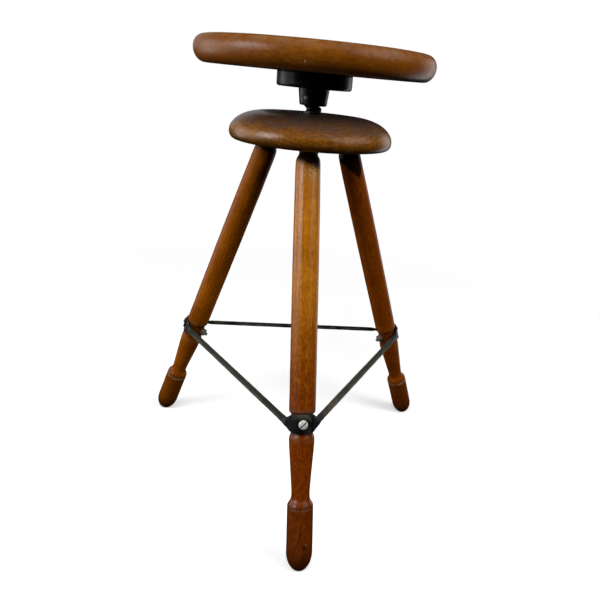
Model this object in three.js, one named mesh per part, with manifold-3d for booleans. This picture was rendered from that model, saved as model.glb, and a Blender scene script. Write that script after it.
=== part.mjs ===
// Adjustable swivel stool: a round wooden seat on a coarse iron screw, which winds up and down in a
// wooden hub carried by three splayed, turned legs. Iron stretchers tie the legs together.
// Millimetres, +Z up, front leg toward -Y.
import * as THREE from 'three';
import { mergeVertices } from 'three/addons/utils/BufferGeometryUtils.js';
import Module from 'manifold-3d';

const wasm = await Module();
wasm.setup();

// ---------- driving dimensions ----------

const GAP = 0.3; // clearance between pieces that touch
const TURN = 2 * Math.PI;
const FACETS = { large: 40, medium: 24, leg: 18, small: 10 }; // sides of a round surface

const SEAT_RADIUS = 175;
const SEAT_BOTTOM = 658.6;
const SEAT_THICKNESS = 36.6;
const SEAT_TOP_ROUND = { across: 14.8, high: 16.6 };
const SEAT_BOTTOM_ROUND = { across: 16.8, high: 20 };

const HUB_RADIUS = 123.4;
const HUB_BOTTOM = 558.2;
const HUB_THICKNESS = 42.4;
const HUB_TOP_ROUND = { across: 52.6, high: 31.8 };
const HUB_BOTTOM_ROUND = { across: 8.8, high: 10.6 };
const HUB_TOP = HUB_BOTTOM + HUB_THICKNESS;

const LEG_AZIMUTHS = { front: -90, right: 30, left: 150 };
const LEG_LEANS = { front: 1.1, right: 0, left: 0 }; // degrees sideways, about the leg's own screw
const LEG_SPREAD = { foot: 283.2, top: 70.3 }; // distance of the leg's axis from the screw's axis
const FOOT_CENTRE_HEIGHT = 18.6; // height of the leg's zero station above the floor
const LEG_TILT = Math.atan2(LEG_SPREAD.foot - LEG_SPREAD.top, HUB_BOTTOM - FOOT_CENTRE_HEIGHT);
const LEG_LENGTH = (HUB_BOTTOM - FOOT_CENTRE_HEIGHT) / Math.cos(LEG_TILT); // zero station to hub
const TENON_RADIUS = 13.2;
const TENON_DEPTH = 34;
const FOOT_RADIUS = 18.8;
const FOOT_DOME = 28.4; // length of the rounded tip, whose centre is at FOOT_DOME_STATION
const FOOT_DOME_STATION = 8;

const LUG_STATION = 191.5; // where the stretchers are screwed on, measured up the leg's axis
const GROOVE_RADIUS = 16.2;
const LUG_HALF_HEIGHT = 13.5;
const LUG_THICKNESS = 2.5;
const LUG_TAPER = [12, 38]; // distances from the screw between which the lug narrows to the bar
const BAR_HALF_WIDTH = 5;
const BAR_THICKNESS = 4.5;
const BAR_BEND_LENGTH = 8; // each half of the bend from the leg's side to level
const BAR_TWIST = [5, 28]; // past the leg, where it starts and ends turning from upright to flat
const BAR_EDGE = 0.8; // chamfer along the stretcher's edges

const LEG_SCREW_RADIUS = 3;
const LEG_SCREW_HEAD = { radius: 6.5, high: 3.6, slotWide: 1.3, slotDeep: 1.4 };
const LEG_SCREW_SLOT_ANGLE = 45;
const LEG_WASHER = { radius: 7, thick: 1.5 };
const LEG_NUT = { across: 10, thick: 5 };
const LEG_SCREW_TAIL = 4; // what shows beyond the nut

const LEAD = 12.7; // rise of the seat in one turn
const THREAD_CREST_RADIUS = 13.3;
const THREAD_ROOT_RADIUS = 9.8;
const THREAD_SHARES = { root: 0.2, flank: 0.3, crest: 0.2 }; // parts of one lead, flank twice
const THREAD_CLEARANCE = 0.4;
const THREAD_SEGMENTS = 16;
const CREST_HEIGHT_ON_LEFT = 601; // height of a crest on the -X side
const TURNS_UP = 10;

const FLANGE_RADIUS = 56;
const FLANGE_HEIGHT = 21.5;
const FLANGE_WALL = 6;
const FLANGE_PLATE = 6;
const BOSS_TOP_RADIUS = 23.2;
const BOSS_BOTTOM_RADIUS = 20.7;
const BOSS_HEIGHT = 24;
const BOSS_ROUND = 2.5;
const SHANK_RADIUS = 11.5; // plain top of the screw, inside the boss
const FLANGE_RIBS = 4;
const FLANGE_RIB = { thick: 5, high: 11 };
const FLANGE_TOP = SEAT_BOTTOM - GAP;
const FLANGE_BOTTOM = FLANGE_TOP - FLANGE_HEIGHT;
const BOSS_BOTTOM = FLANGE_BOTTOM - BOSS_HEIGHT;
const SEAT_SCREW_CIRCLE = 36;
const SEAT_SCREW = { radius: 2.5, headRadius: 5, headHigh: 3.2, length: 25 };

const PIN_RADIUS = 3;
const SPINDLE_PIN_AZIMUTH = -125;
const SPINDLE_PIN_HEIGHT = BOSS_BOTTOM + 11;
const STOP_PIN_LENGTH = 37;

const NUT_FLANGE = { radius: 38, thick: 5 };
const NUT_BARREL_RADIUS = 21;
const NUT_HEIGHT = 37;
const NUT_TOP = HUB_BOTTOM - GAP - NUT_FLANGE.thick + NUT_HEIGHT;
const NUT_BOTTOM = NUT_TOP - NUT_HEIGHT;
const NUT_SCREW_CIRCLE = 30;
const NUT_SCREW = { radius: 2.3, headRadius: 4.6, headHigh: 2.6, length: 22 };
const NUT_SCREW_AZIMUTHS = [90, 210, 330]; // between the legs

const BUFFER_WASHER = { outer: 19.5, inner: 14.2, thick: 2.2 };
const WASHER_SINK = 1.8; // depth of its seat in the hub

const STOP_PIN_HEIGHT = NUT_BOTTOM - TURNS_UP * LEAD - PIN_RADIUS - 2 * GAP;
const SPINDLE_BOTTOM = STOP_PIN_HEIGHT - 11;
const SPINDLE_TOP = FLANGE_TOP - 1.5;
const THREAD_TOP = BOSS_BOTTOM - GAP;

// ---------- materials ----------

const walnutStain = new THREE.MeshStandardMaterial({ color: 0x8a4f1e, roughness: 0.42, metalness: 0 });
const darkStain = new THREE.MeshStandardMaterial({ color: 0x6e3c16, roughness: 0.45, metalness: 0 });
const blackIron = new THREE.MeshStandardMaterial({ color: 0x0d0c0d, roughness: 0.35, metalness: 0.6 });
const wornSteel = new THREE.MeshStandardMaterial({ color: 0x3a3c39, roughness: 0.5, metalness: 0.8 });
const brightSteel = new THREE.MeshStandardMaterial({ color: 0xcfd0c6, roughness: 0.3, metalness: 1 });
const leather = new THREE.MeshStandardMaterial({ color: 0x2c1c12, roughness: 0.8, metalness: 0 });

// ---------- solids ----------

const radians = THREE.MathUtils.degToRad;

// Closed solid of a geometry: shared corners merged, and triangles without area left out.
function solid(geometry) {
  const bare = geometry.clone();
  bare.deleteAttribute('normal');
  bare.deleteAttribute('uv');
  const merged = mergeVertices(bare, 1e-4);
  const corners = merged.index.array;
  const triangles = [];
  for (let i = 0; i < corners.length; i += 3) {
    const [a, b, c] = [corners[i], corners[i + 1], corners[i + 2]];
    if (a !== b && b !== c && c !== a) triangles.push(a, b, c);
  }
  return new wasm.Manifold(new wasm.Mesh({
    numProp: 3,
    vertProperties: new Float32Array(merged.attributes.position.array),
    triVerts: new Uint32Array(triangles),
  }));
}

function geometryOf(body) {
  const { vertProperties, triVerts } = body.getMesh();
  const geometry = new THREE.BufferGeometry();
  geometry.setAttribute('position', new THREE.BufferAttribute(vertProperties, 3));
  geometry.setIndex(new THREE.BufferAttribute(triVerts, 1));
  geometry.computeVertexNormals();
  return geometry;
}

// Solid of revolution about +Z. The profile is [radius, height] pairs, bottom to top.
function turned(profile, segments) {
  const points = profile.map(([radius, height]) => new THREE.Vector2(radius, height));
  return new THREE.LatheGeometry(points, segments).rotateX(Math.PI / 2);
}

function cylinder(radius, bottom, top, segments = FACETS.medium) {
  return turned([[0, bottom], [radius, bottom], [radius, top], [0, top]], segments);
}

// Quarter ellipse of profile points between two angles in degrees; 0 is outward and 90 is up.
function roundedCorner(centreRadius, centreHeight, across, high, fromAngle, toAngle, steps) {
  const points = [];
  for (let i = 0; i <= steps; i += 1) {
    const angle = radians(fromAngle + (toAngle - fromAngle) * i / steps);
    points.push([centreRadius + across * Math.cos(angle), centreHeight + high * Math.sin(angle)]);
  }
  return points;
}

// Cylinder across the screw's axis, at an azimuth in degrees and a height.
function crossHole(radius, from, to, azimuth, height) {
  return cylinder(radius, from, to, 12)
    .rotateY(Math.PI / 2)
    .rotateZ(radians(azimuth))
    .translate(0, 0, height);
}

function onCircle(geometry, circle, azimuth) {
  return geometry.clone().translate(circle, 0, 0).rotateZ(radians(azimuth));
}

// ---------- thread ----------

// Right-hand threaded rod about +Z whose first turn starts at height zero on +X. It is one spiral
// strip of four lines: root start, root end, crest start and crest end. A clearance makes it fatter.
function threadedRod(turns, clearance = 0) {
  const { root, flank, crest } = THREAD_SHARES;
  const rootRadius = THREAD_ROOT_RADIUS + clearance;
  const crestRadius = THREAD_CREST_RADIUS + clearance;
  const lines = [
    [rootRadius, clearance],
    [rootRadius, root * LEAD - clearance],
    [crestRadius, (root + flank) * LEAD - clearance],
    [crestRadius, (root + flank + crest) * LEAD + clearance],
  ];
  const steps = turns * THREAD_SEGMENTS;
  const positions = [];
  const point = (line, step) => {
    const [radius, height] = lines[line];
    const turn = step / THREAD_SEGMENTS;
    const angle = TURN * turn;
    positions.push(radius * Math.cos(angle), radius * Math.sin(angle), height + LEAD * turn);
  };
  for (let step = 0; step <= steps + THREAD_SEGMENTS; step += 1) point(0, step);
  for (let line = 1; line < 4; line += 1) {
    for (let step = 0; step <= steps; step += 1) point(line, step);
  }
  const first = [0];
  for (let line = 1; line < 4; line += 1) {
    first.push(steps + THREAD_SEGMENTS + 1 + (line - 1) * (steps + 1));
  }
  const corner = (line, step) => (line === 4 ? step + THREAD_SEGMENTS : first[line] + step);

  const triangles = [];
  for (let line = 0; line < 4; line += 1) {
    for (let step = 0; step < steps; step += 1) {
      const [a, b] = [corner(line, step), corner(line, step + 1)];
      const [c, d] = [corner(line + 1, step + 1), corner(line + 1, step)];
      triangles.push(a, b, c, a, c, d);
    }
  }
  const closeEnd = (start, height, up) => {
    const middle = positions.length / 3;
    positions.push(0, 0, height);
    const rim = [];
    for (let step = 0; step <= THREAD_SEGMENTS; step += 1) rim.push(start + step);
    for (let line = 3; line > 0; line -= 1) rim.push(corner(line, start));
    rim.forEach((a, i) => {
      const b = rim[(i + 1) % rim.length];
      triangles.push(middle, ...(up ? [a, b] : [b, a]));
    });
  };
  closeEnd(0, LEAD / 2, false);
  closeEnd(steps, LEAD * (turns + 0.5), true);

  const geometry = new THREE.BufferGeometry();
  geometry.setAttribute('position', new THREE.Float32BufferAttribute(positions, 3));
  geometry.setIndex(triangles);
  return geometry;
}

// Thread running down from a height, in step with the crest on the -X side.
function threadBelow(top, turns, clearance) {
  const crestCentre = THREAD_SHARES.root + THREAD_SHARES.flank + THREAD_SHARES.crest / 2;
  const start = CREST_HEIGHT_ON_LEFT - LEAD * (0.5 + crestCentre);
  const turnsToTop = Math.ceil((top - start) / LEAD);
  return threadedRod(turns, clearance).translate(0, 0, start + LEAD * (turnsToTop - turns));
}

// ---------- seat, and what turns with it ----------

function seat() {
  const top = SEAT_BOTTOM + SEAT_THICKNESS;
  const { across: topAcross, high: topHigh } = SEAT_TOP_ROUND;
  const { across: bottomAcross, high: bottomHigh } = SEAT_BOTTOM_ROUND;
  let body = solid(turned([
    [0, SEAT_BOTTOM],
    ...roundedCorner(
      SEAT_RADIUS - bottomAcross, SEAT_BOTTOM + bottomHigh, bottomAcross, bottomHigh, -90, 0, 4,
    ),
    ...roundedCorner(SEAT_RADIUS - topAcross, top - topHigh, topAcross, topHigh, 0, 90, 4).slice(1),
    [0, top],
  ], FACETS.large));
  const depth = SEAT_SCREW.length - FLANGE_PLATE + 2;
  const pilot = cylinder(SEAT_SCREW.radius + GAP, SEAT_BOTTOM - 1, SEAT_BOTTOM + depth, FACETS.small);
  for (const azimuth of seatScrewAzimuths()) {
    body = body.subtract(solid(onCircle(pilot, SEAT_SCREW_CIRCLE, azimuth)));
  }
  return body;
}

// The screws sit midway between the ribs.
function seatScrewAzimuths() {
  return Array.from({ length: FLANGE_RIBS }, (_, i) => (i + 0.5) * 360 / FLANGE_RIBS);
}

// Cast dish, open below, with a boss for the screw in the middle and ribs from boss to rim.
function seatFlange() {
  const plateBottom = FLANGE_TOP - FLANGE_PLATE;
  const inside = FLANGE_RADIUS - FLANGE_WALL;
  const round = FLANGE_WALL / 2;
  const boreRadius = SHANK_RADIUS + GAP;
  let body = solid(turned([
    [boreRadius, BOSS_BOTTOM],
    ...roundedCorner(
      BOSS_BOTTOM_RADIUS - BOSS_ROUND, BOSS_BOTTOM + BOSS_ROUND, BOSS_ROUND, BOSS_ROUND, -90, 0, 2,
    ),
    [BOSS_TOP_RADIUS, FLANGE_BOTTOM],
    [BOSS_TOP_RADIUS, plateBottom - 3],
    [BOSS_TOP_RADIUS + 3, plateBottom],
    [inside - 3, plateBottom],
    [inside, plateBottom - 3],
    ...roundedCorner(inside + round, FLANGE_BOTTOM + round, round, round, -180, -90, 2),
    ...roundedCorner(inside, FLANGE_BOTTOM + FLANGE_WALL, FLANGE_WALL, FLANGE_WALL, -60, 0, 3),
    [FLANGE_RADIUS, FLANGE_TOP],
    [boreRadius, FLANGE_TOP],
    [boreRadius, BOSS_BOTTOM],
  ], 28));
  const ribLength = FLANGE_RADIUS - FLANGE_WALL - BOSS_TOP_RADIUS + 4;
  const rib = new THREE.BoxGeometry(ribLength, FLANGE_RIB.thick, FLANGE_RIB.high + 2)
    .translate(0, 0, plateBottom - FLANGE_RIB.high / 2 + 1);
  for (let i = 0; i < FLANGE_RIBS; i += 1) {
    const middle = BOSS_TOP_RADIUS - 2 + ribLength / 2;
    body = body.add(solid(onCircle(rib, middle, i * 360 / FLANGE_RIBS)));
  }
  const hole = cylinder(SEAT_SCREW.radius + GAP, plateBottom - 2, FLANGE_TOP + 1, FACETS.small);
  for (const azimuth of seatScrewAzimuths()) {
    body = body.subtract(solid(onCircle(hole, SEAT_SCREW_CIRCLE, azimuth)));
  }
  const reach = BOSS_TOP_RADIUS + 3;
  const pinHole = crossHole(PIN_RADIUS + GAP, -reach, reach, SPINDLE_PIN_AZIMUTH, SPINDLE_PIN_HEIGHT);
  return body.subtract(solid(pinHole));
}

// Round-headed wood screw, head down, its head's flat side at height zero, with a slotted head.
function woodScrew({ radius, headRadius, headHigh, length }) {
  const body = solid(turned([
    [0, -headHigh],
    ...roundedCorner(0, 0, headRadius, headHigh, -60, 0, 2),
    [radius, 0],
    [radius, length * 0.7],
    [0.4, length],
    [0, length],
  ], FACETS.small));
  const slot = new THREE.BoxGeometry(3 * headRadius, 1.2, headHigh).translate(0, 0, -headHigh);
  return body.subtract(solid(slot));
}

function spindle() {
  const threadTurns = Math.ceil((THREAD_TOP - SPINDLE_BOTTOM) / LEAD) + 2;
  const chamfer = THREAD_CREST_RADIUS - THREAD_ROOT_RADIUS;
  const envelope = solid(turned([
    [0, SPINDLE_BOTTOM],
    [THREAD_ROOT_RADIUS, SPINDLE_BOTTOM],
    [THREAD_CREST_RADIUS + 1, SPINDLE_BOTTOM + chamfer + 1],
    [THREAD_CREST_RADIUS + 1, THREAD_TOP],
    [0, THREAD_TOP],
  ], FACETS.medium));
  const shank = solid(cylinder(SHANK_RADIUS, THREAD_TOP - 2, SPINDLE_TOP));
  const reach = THREAD_CREST_RADIUS + 3;
  return solid(threadBelow(THREAD_TOP + LEAD, threadTurns, 0))
    .intersect(envelope)
    .add(shank)
    .subtract(solid(crossHole(PIN_RADIUS + GAP, -reach, reach, SPINDLE_PIN_AZIMUTH, SPINDLE_PIN_HEIGHT)))
    .subtract(solid(crossHole(PIN_RADIUS + GAP, -reach, reach, LEG_AZIMUTHS.front, STOP_PIN_HEIGHT)));
}

// Straight pin with bevelled ends, through the screw's axis.
function crossPin(halfLength, azimuth, height) {
  const bevel = 0.8;
  return solid(turned([
    [0, -halfLength],
    [PIN_RADIUS - bevel, -halfLength],
    [PIN_RADIUS, -halfLength + bevel],
    [PIN_RADIUS, halfLength - bevel],
    [PIN_RADIUS - bevel, halfLength],
    [0, halfLength],
  ], 12).rotateY(Math.PI / 2).rotateZ(radians(azimuth)).translate(0, 0, height));
}

// ---------- hub, nut and washer ----------

// Leans geometry drawn along a leg sideways, in degrees, about the screw through the leg.
function leaning(geometry, lean) {
  return geometry.clone()
    .translate(0, 0, -LUG_STATION)
    .rotateX(radians(lean))
    .translate(0, 0, LUG_STATION);
}

// Places geometry drawn along a leg: +Z runs up the leg's axis and +X faces outward.
function alongLeg(geometry, azimuth) {
  return geometry.clone()
    .rotateY(-LEG_TILT)
    .translate(LEG_SPREAD.foot, 0, FOOT_CENTRE_HEIGHT)
    .rotateZ(radians(azimuth));
}

function legHub() {
  const { across: topAcross, high: topHigh } = HUB_TOP_ROUND;
  const { across: bottomAcross, high: bottomHigh } = HUB_BOTTOM_ROUND;
  let body = solid(turned([
    [0, HUB_BOTTOM],
    ...roundedCorner(
      HUB_RADIUS - bottomAcross, HUB_BOTTOM + bottomHigh, bottomAcross, bottomHigh, -90, 0, 3,
    ),
    ...roundedCorner(HUB_RADIUS - topAcross, HUB_TOP - topHigh, topAcross, topHigh, 0, 90, 6).slice(1),
    [0, HUB_TOP],
  ], FACETS.large));
  const recess = cylinder(NUT_BARREL_RADIUS + GAP, HUB_BOTTOM - 1, NUT_TOP + GAP);
  const wellRadius = THREAD_CREST_RADIUS + 1.5;
  const well = cylinder(wellRadius, HUB_BOTTOM, HUB_TOP + 1);
  const washerSeat = cylinder(BUFFER_WASHER.outer + GAP, HUB_TOP - WASHER_SINK, HUB_TOP + 1);
  body = body.subtract(solid(recess)).subtract(solid(well)).subtract(solid(washerSeat));
  const mortise = cylinder(TENON_RADIUS + GAP, LEG_LENGTH - 10, LEG_LENGTH + TENON_DEPTH + GAP, 20);
  for (const [side, azimuth] of Object.entries(LEG_AZIMUTHS)) {
    body = body.subtract(solid(alongLeg(leaning(mortise, LEG_LEANS[side]), azimuth)));
  }
  const depth = NUT_SCREW.length - NUT_FLANGE.thick + 2;
  const pilot = cylinder(NUT_SCREW.radius + GAP, HUB_BOTTOM - 1, HUB_BOTTOM + depth, FACETS.small);
  for (const azimuth of NUT_SCREW_AZIMUTHS) {
    body = body.subtract(solid(onCircle(pilot, NUT_SCREW_CIRCLE, azimuth)));
  }
  return body;
}

// Flanged nut let into the hub from below, threaded right through.
function spindleNut() {
  const flangeTop = NUT_BOTTOM + NUT_FLANGE.thick;
  let body = solid(turned([
    [0, NUT_BOTTOM],
    [NUT_FLANGE.radius - 1.5, NUT_BOTTOM],
    [NUT_FLANGE.radius, NUT_BOTTOM + 1.5],
    [NUT_FLANGE.radius, flangeTop],
    [NUT_BARREL_RADIUS, flangeTop],
    [NUT_BARREL_RADIUS, NUT_TOP],
    [0, NUT_TOP],
  ], FACETS.medium));
  const turns = Math.ceil(NUT_HEIGHT / LEAD) + 3;
  body = body.subtract(solid(threadBelow(NUT_TOP + LEAD, turns, THREAD_CLEARANCE)));
  const hole = cylinder(NUT_SCREW.radius + GAP, NUT_BOTTOM - 1, flangeTop + 1, FACETS.small);
  for (const azimuth of NUT_SCREW_AZIMUTHS) {
    body = body.subtract(solid(onCircle(hole, NUT_SCREW_CIRCLE, azimuth)));
  }
  return body;
}

// Flat ring, let into the hub's top, that the boss lands on when the seat is wound right down.
function bufferWasher() {
  const { outer, inner, thick } = BUFFER_WASHER;
  const bottom = HUB_TOP - WASHER_SINK + GAP;
  return solid(turned([
    [inner, bottom],
    [outer, bottom],
    [outer, bottom + thick],
    [inner, bottom + thick],
    [inner, bottom],
  ], FACETS.medium));
}

// ---------- legs and their fastenings, drawn along the leg ----------

// Turned outline as [station, diameter], from the top of the foot's dome to the hub.
const LEG_OUTLINE = [
  [66, 37.6], [74, 36], [80, 29.1], [86, 26.3], [93, 26.3], [108, 28.4], [154, 35.4], [165, 36.6],
  [171, 35.8], [174, 2 * GROOVE_RADIUS], [205, 2 * GROOVE_RADIUS], [208, 38.1], [390, 38.1],
  [492, 37.1], [559, 35.5], [565, 33.8], [571, 2 * TENON_RADIUS],
];

function leg(lean) {
  const tenonEnd = LEG_LENGTH + TENON_DEPTH;
  const body = solid(turned([
    [0, FOOT_DOME_STATION - FOOT_DOME],
    ...roundedCorner(0, FOOT_DOME_STATION, FOOT_RADIUS, FOOT_DOME, -75, 0, 4),
    ...LEG_OUTLINE.map(([station, diameter]) => [diameter / 2, station]),
    [TENON_RADIUS, tenonEnd - 2],
    [TENON_RADIUS - 2, tenonEnd],
    [0, tenonEnd],
  ], FACETS.leg));
  // The dome's tip is worn flat where it stands on the floor.
  const floor = new THREE.BoxGeometry(80, 80, 20)
    .translate(0, 0, -10 - FOOT_CENTRE_HEIGHT)
    .rotateY(LEG_TILT);
  const hole = alongScrew(cylinder(LEG_SCREW_RADIUS + GAP, -30, 30, 12));
  return body.subtract(solid(leaning(floor, -lean))).subtract(solid(hole));
}

// Turns geometry drawn about +Z so that it points straight out of the leg at the lugs.
function alongScrew(geometry) {
  return geometry.rotateY(Math.PI / 2).translate(0, 0, LUG_STATION);
}

const LUG_STACK = GROOVE_RADIUS + 2 * (GAP + LUG_THICKNESS); // outer face of the outer lug
const WASHER_FACE = -GROOVE_RADIUS - GAP; // where the washer meets the inner side of the leg
const NUT_FACE = WASHER_FACE - LEG_WASHER.thick - GAP;

function legScrew() {
  const { radius, high, slotWide, slotDeep } = LEG_SCREW_HEAD;
  const head = LUG_STACK + GAP;
  const body = solid(alongScrew(turned([
    [0, NUT_FACE - LEG_NUT.thick - LEG_SCREW_TAIL],
    [LEG_SCREW_RADIUS, NUT_FACE - LEG_NUT.thick - LEG_SCREW_TAIL],
    [LEG_SCREW_RADIUS, head],
    [radius, head],
    [radius, head + high * 0.4],
    ...roundedCorner(0, head + high * 0.4, radius, high * 0.6, 30, 60, 2),
    [0, head + high],
  ], 16)));
  const slot = alongScrew(
    new THREE.BoxGeometry(3 * radius, slotWide, 2 * slotDeep)
      .rotateZ(radians(LEG_SCREW_SLOT_ANGLE))
      .translate(0, 0, head + high),
  );
  return body.subtract(solid(slot));
}

function legWasher() {
  const inner = LEG_SCREW_RADIUS + GAP;
  return solid(alongScrew(turned([
    [inner, WASHER_FACE - LEG_WASHER.thick],
    [LEG_WASHER.radius, WASHER_FACE - LEG_WASHER.thick],
    [LEG_WASHER.radius, WASHER_FACE],
    [inner, WASHER_FACE],
    [inner, WASHER_FACE - LEG_WASHER.thick],
  ], 16)));
}

function legNut() {
  const { across, thick } = LEG_NUT;
  const block = new THREE.BoxGeometry(across, across, thick).translate(0, 0, NUT_FACE - thick / 2);
  const bore = cylinder(LEG_SCREW_RADIUS + GAP, NUT_FACE - thick - 1, NUT_FACE + 1, 12);
  return solid(alongScrew(block)).subtract(solid(alongScrew(bore)));
}

// ---------- stretchers ----------

const smooth = (value) => THREE.MathUtils.smoothstep(value, 0, 1);

// Share of the way from lug to bar at a distance from the screw.
function taper(distance) {
  return smooth((distance - LUG_TAPER[0]) / (LUG_TAPER[1] - LUG_TAPER[0]));
}

// Half the width of a stretcher at a distance from its screw: a round-ended lug, then the bar.
function stretcherHalfWidth(distance) {
  if (distance < 0) return Math.sqrt(LUG_HALF_HEIGHT ** 2 - distance ** 2);
  return LUG_HALF_HEIGHT + (BAR_HALF_WIDTH - LUG_HALF_HEIGHT) * taper(distance);
}

// One end of the stretcher that runs along +Y past the leg at azimuth -60: cross-sections from the
// tip of the lug, round the leg, to where the bar lies flat. Each has its centre, its half sizes,
// and its directions across the strap and out of its face.
function stretcherEnd(lugInnerRadius) {
  const azimuth = radians(-60);
  const outward = new THREE.Vector3(Math.cos(azimuth), Math.sin(azimuth), 0);
  const sideways = new THREE.Vector3(-Math.sin(azimuth), Math.cos(azimuth), 0);
  const up = new THREE.Vector3(0, 0, 1);
  const axis = up.clone().multiplyScalar(Math.cos(LEG_TILT)).addScaledVector(outward, -Math.sin(LEG_TILT));
  const face = up.clone().multiplyScalar(Math.sin(LEG_TILT)).addScaledVector(outward, Math.cos(LEG_TILT));
  const onAxis = outward.clone().multiplyScalar(LEG_SPREAD.foot)
    .addScaledVector(up, FOOT_CENTRE_HEIGHT)
    .addScaledVector(axis, LUG_STATION);
  const bendRadius = lugInnerRadius + LUG_THICKNESS / 2;
  // The strap leaves the leg where it has turned round to +Y.
  const leaveAngle = Math.atan2(sideways.x, face.x);
  const normalAt = (angle) => face.clone().multiplyScalar(Math.cos(angle))
    .addScaledVector(sideways, Math.sin(angle));
  const pointAt = (angle) => onAxis.clone().addScaledVector(normalAt(angle), bendRadius);
  const leaveDistance = bendRadius * leaveAngle;

  const sections = [];
  const addSection = (centre, along, across, distance) => {
    const acrossUnit = across.clone().addScaledVector(along, -across.dot(along)).normalize();
    sections.push({
      centre,
      across: acrossUnit,
      out: new THREE.Vector3().crossVectors(along, acrossUnit).normalize(),
      halfWidth: stretcherHalfWidth(distance),
      halfThickness: (LUG_THICKNESS + (BAR_THICKNESS - LUG_THICKNESS) * taper(distance)) / 2,
    });
  };
  const tangentAt = (angle) => sideways.clone().multiplyScalar(Math.cos(angle))
    .addScaledVector(face, -Math.sin(angle));
  const roundTip = [0.98, 0.85, 0.6, 0.3].map((share) => -share * LUG_HALF_HEIGHT);
  const roundLeg = [0, 1, 2, 3, 4, 5].map((i) => leaveDistance * i / 5);
  for (const distance of [...roundTip, ...roundLeg]) {
    const angle = distance / bendRadius;
    addSection(pointAt(angle), tangentAt(angle), axis, distance);
  }
  // It then bends level, and turns over until it lies flat.
  const ahead = new THREE.Vector3(0, 1, 0);
  const leave = pointAt(leaveAngle);
  const knee = leave.clone().addScaledVector(tangentAt(leaveAngle), BAR_BEND_LENGTH);
  const level = knee.clone().addScaledVector(ahead, BAR_BEND_LENGTH);
  const bend = new THREE.QuadraticBezierCurve3(leave, knee, level);
  const inward = new THREE.Vector3(-1, 0, 0);
  const [twistStart, twistEnd] = BAR_TWIST;
  const freeSteps = 7;
  for (let i = 1; i <= freeSteps; i += 1) {
    const travelled = twistEnd * i / freeSteps;
    const share = Math.min(travelled / (2 * BAR_BEND_LENGTH), 1);
    const past = Math.max(travelled - 2 * BAR_BEND_LENGTH, 0);
    const centre = bend.getPoint(share).addScaledVector(ahead, past);
    const twist = smooth((travelled - twistStart) / (twistEnd - twistStart)) * Math.PI / 2;
    const across = axis.clone().multiplyScalar(Math.cos(twist)).addScaledVector(inward, Math.sin(twist));
    addSection(centre, bend.getTangent(share), across, leaveDistance + travelled);
  }
  return sections;
}

// Whole stretcher: one lug lies on the leg, the other on top of the next stretcher's lug.
function stretcher() {
  const near = stretcherEnd(GROOVE_RADIUS + GAP);
  const mirrored = (vector) => new THREE.Vector3(vector.x, -vector.y, vector.z);
  const far = stretcherEnd(GROOVE_RADIUS + 2 * GAP + LUG_THICKNESS).reverse().map((section) => ({
    ...section,
    centre: mirrored(section.centre),
    across: mirrored(section.across),
    out: mirrored(section.out),
  }));
  const rings = [...near, ...far].map(({ centre, across, out, halfWidth, halfThickness }) => {
    const [w, t] = [halfWidth, halfThickness];
    const outline = [
      [w, t - BAR_EDGE], [w - BAR_EDGE, t], [BAR_EDGE - w, t], [-w, t - BAR_EDGE],
      [-w, BAR_EDGE - t], [BAR_EDGE - w, -t], [w - BAR_EDGE, -t], [w, BAR_EDGE - t],
    ];
    return outline.map(([a, b]) => centre.clone().addScaledVector(across, a).addScaledVector(out, b));
  });
  let body = solid(lofted(rings));
  for (const side of [-1, 1]) {
    const hole = alongScrew(cylinder(LEG_SCREW_RADIUS + GAP, GROOVE_RADIUS - 3, LUG_STACK + 3, 12));
    body = body.subtract(solid(alongLeg(hole, side * 60)));
  }
  return body;
}

// Skin over a row of rings with equal numbers of points, closed at both ends.
function lofted(rings) {
  const count = rings[0].length;
  const positions = rings.flat().flatMap((point) => point.toArray());
  const triangles = [];
  for (let ring = 0; ring < rings.length - 1; ring += 1) {
    for (let i = 0; i < count; i += 1) {
      const [a, b] = [ring * count + i, ring * count + (i + 1) % count];
      const [c, d] = [b + count, a + count];
      triangles.push(a, b, c, a, c, d);
    }
  }
  const last = (rings.length - 1) * count;
  for (let i = 1; i < count - 1; i += 1) {
    triangles.push(0, i + 1, i, last, last + i, last + i + 1);
  }
  const geometry = new THREE.BufferGeometry();
  geometry.setAttribute('position', new THREE.Float32BufferAttribute(positions, 3));
  geometry.setIndex(triangles);
  return geometry;
}

// ---------- assembly ----------

function addPiece(parent, name, geometry, material) {
  const mesh = new THREE.Mesh(geometry, material);
  mesh.name = name;
  parent.add(mesh);
  return mesh;
}

function seatGroup() {
  const group = new THREE.Group();
  addPiece(group, 'seat', geometryOf(seat()), walnutStain);
  addPiece(group, 'seat_flange', geometryOf(seatFlange()), blackIron);
  addPiece(group, 'spindle', geometryOf(spindle()), blackIron);
  const bossHalf = BOSS_BOTTOM_RADIUS + 2;
  const spindlePin = crossPin(bossHalf, SPINDLE_PIN_AZIMUTH, SPINDLE_PIN_HEIGHT);
  addPiece(group, 'spindle_pin', geometryOf(spindlePin), blackIron);
  const stopPin = crossPin(STOP_PIN_LENGTH / 2, LEG_AZIMUTHS.front, STOP_PIN_HEIGHT);
  addPiece(group, 'stop_pin', geometryOf(stopPin), wornSteel);
  const screw = geometryOf(woodScrew(SEAT_SCREW));
  seatScrewAzimuths().forEach((azimuth, i) => {
    const mesh = addPiece(group, `seat_screw_${i + 1}`, screw, wornSteel);
    const angle = radians(azimuth);
    mesh.position.set(SEAT_SCREW_CIRCLE * Math.cos(angle), SEAT_SCREW_CIRCLE * Math.sin(angle), 0);
    mesh.position.z = FLANGE_TOP - FLANGE_PLATE - GAP;
    mesh.rotation.z = angle;
  });
  return group;
}

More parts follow.
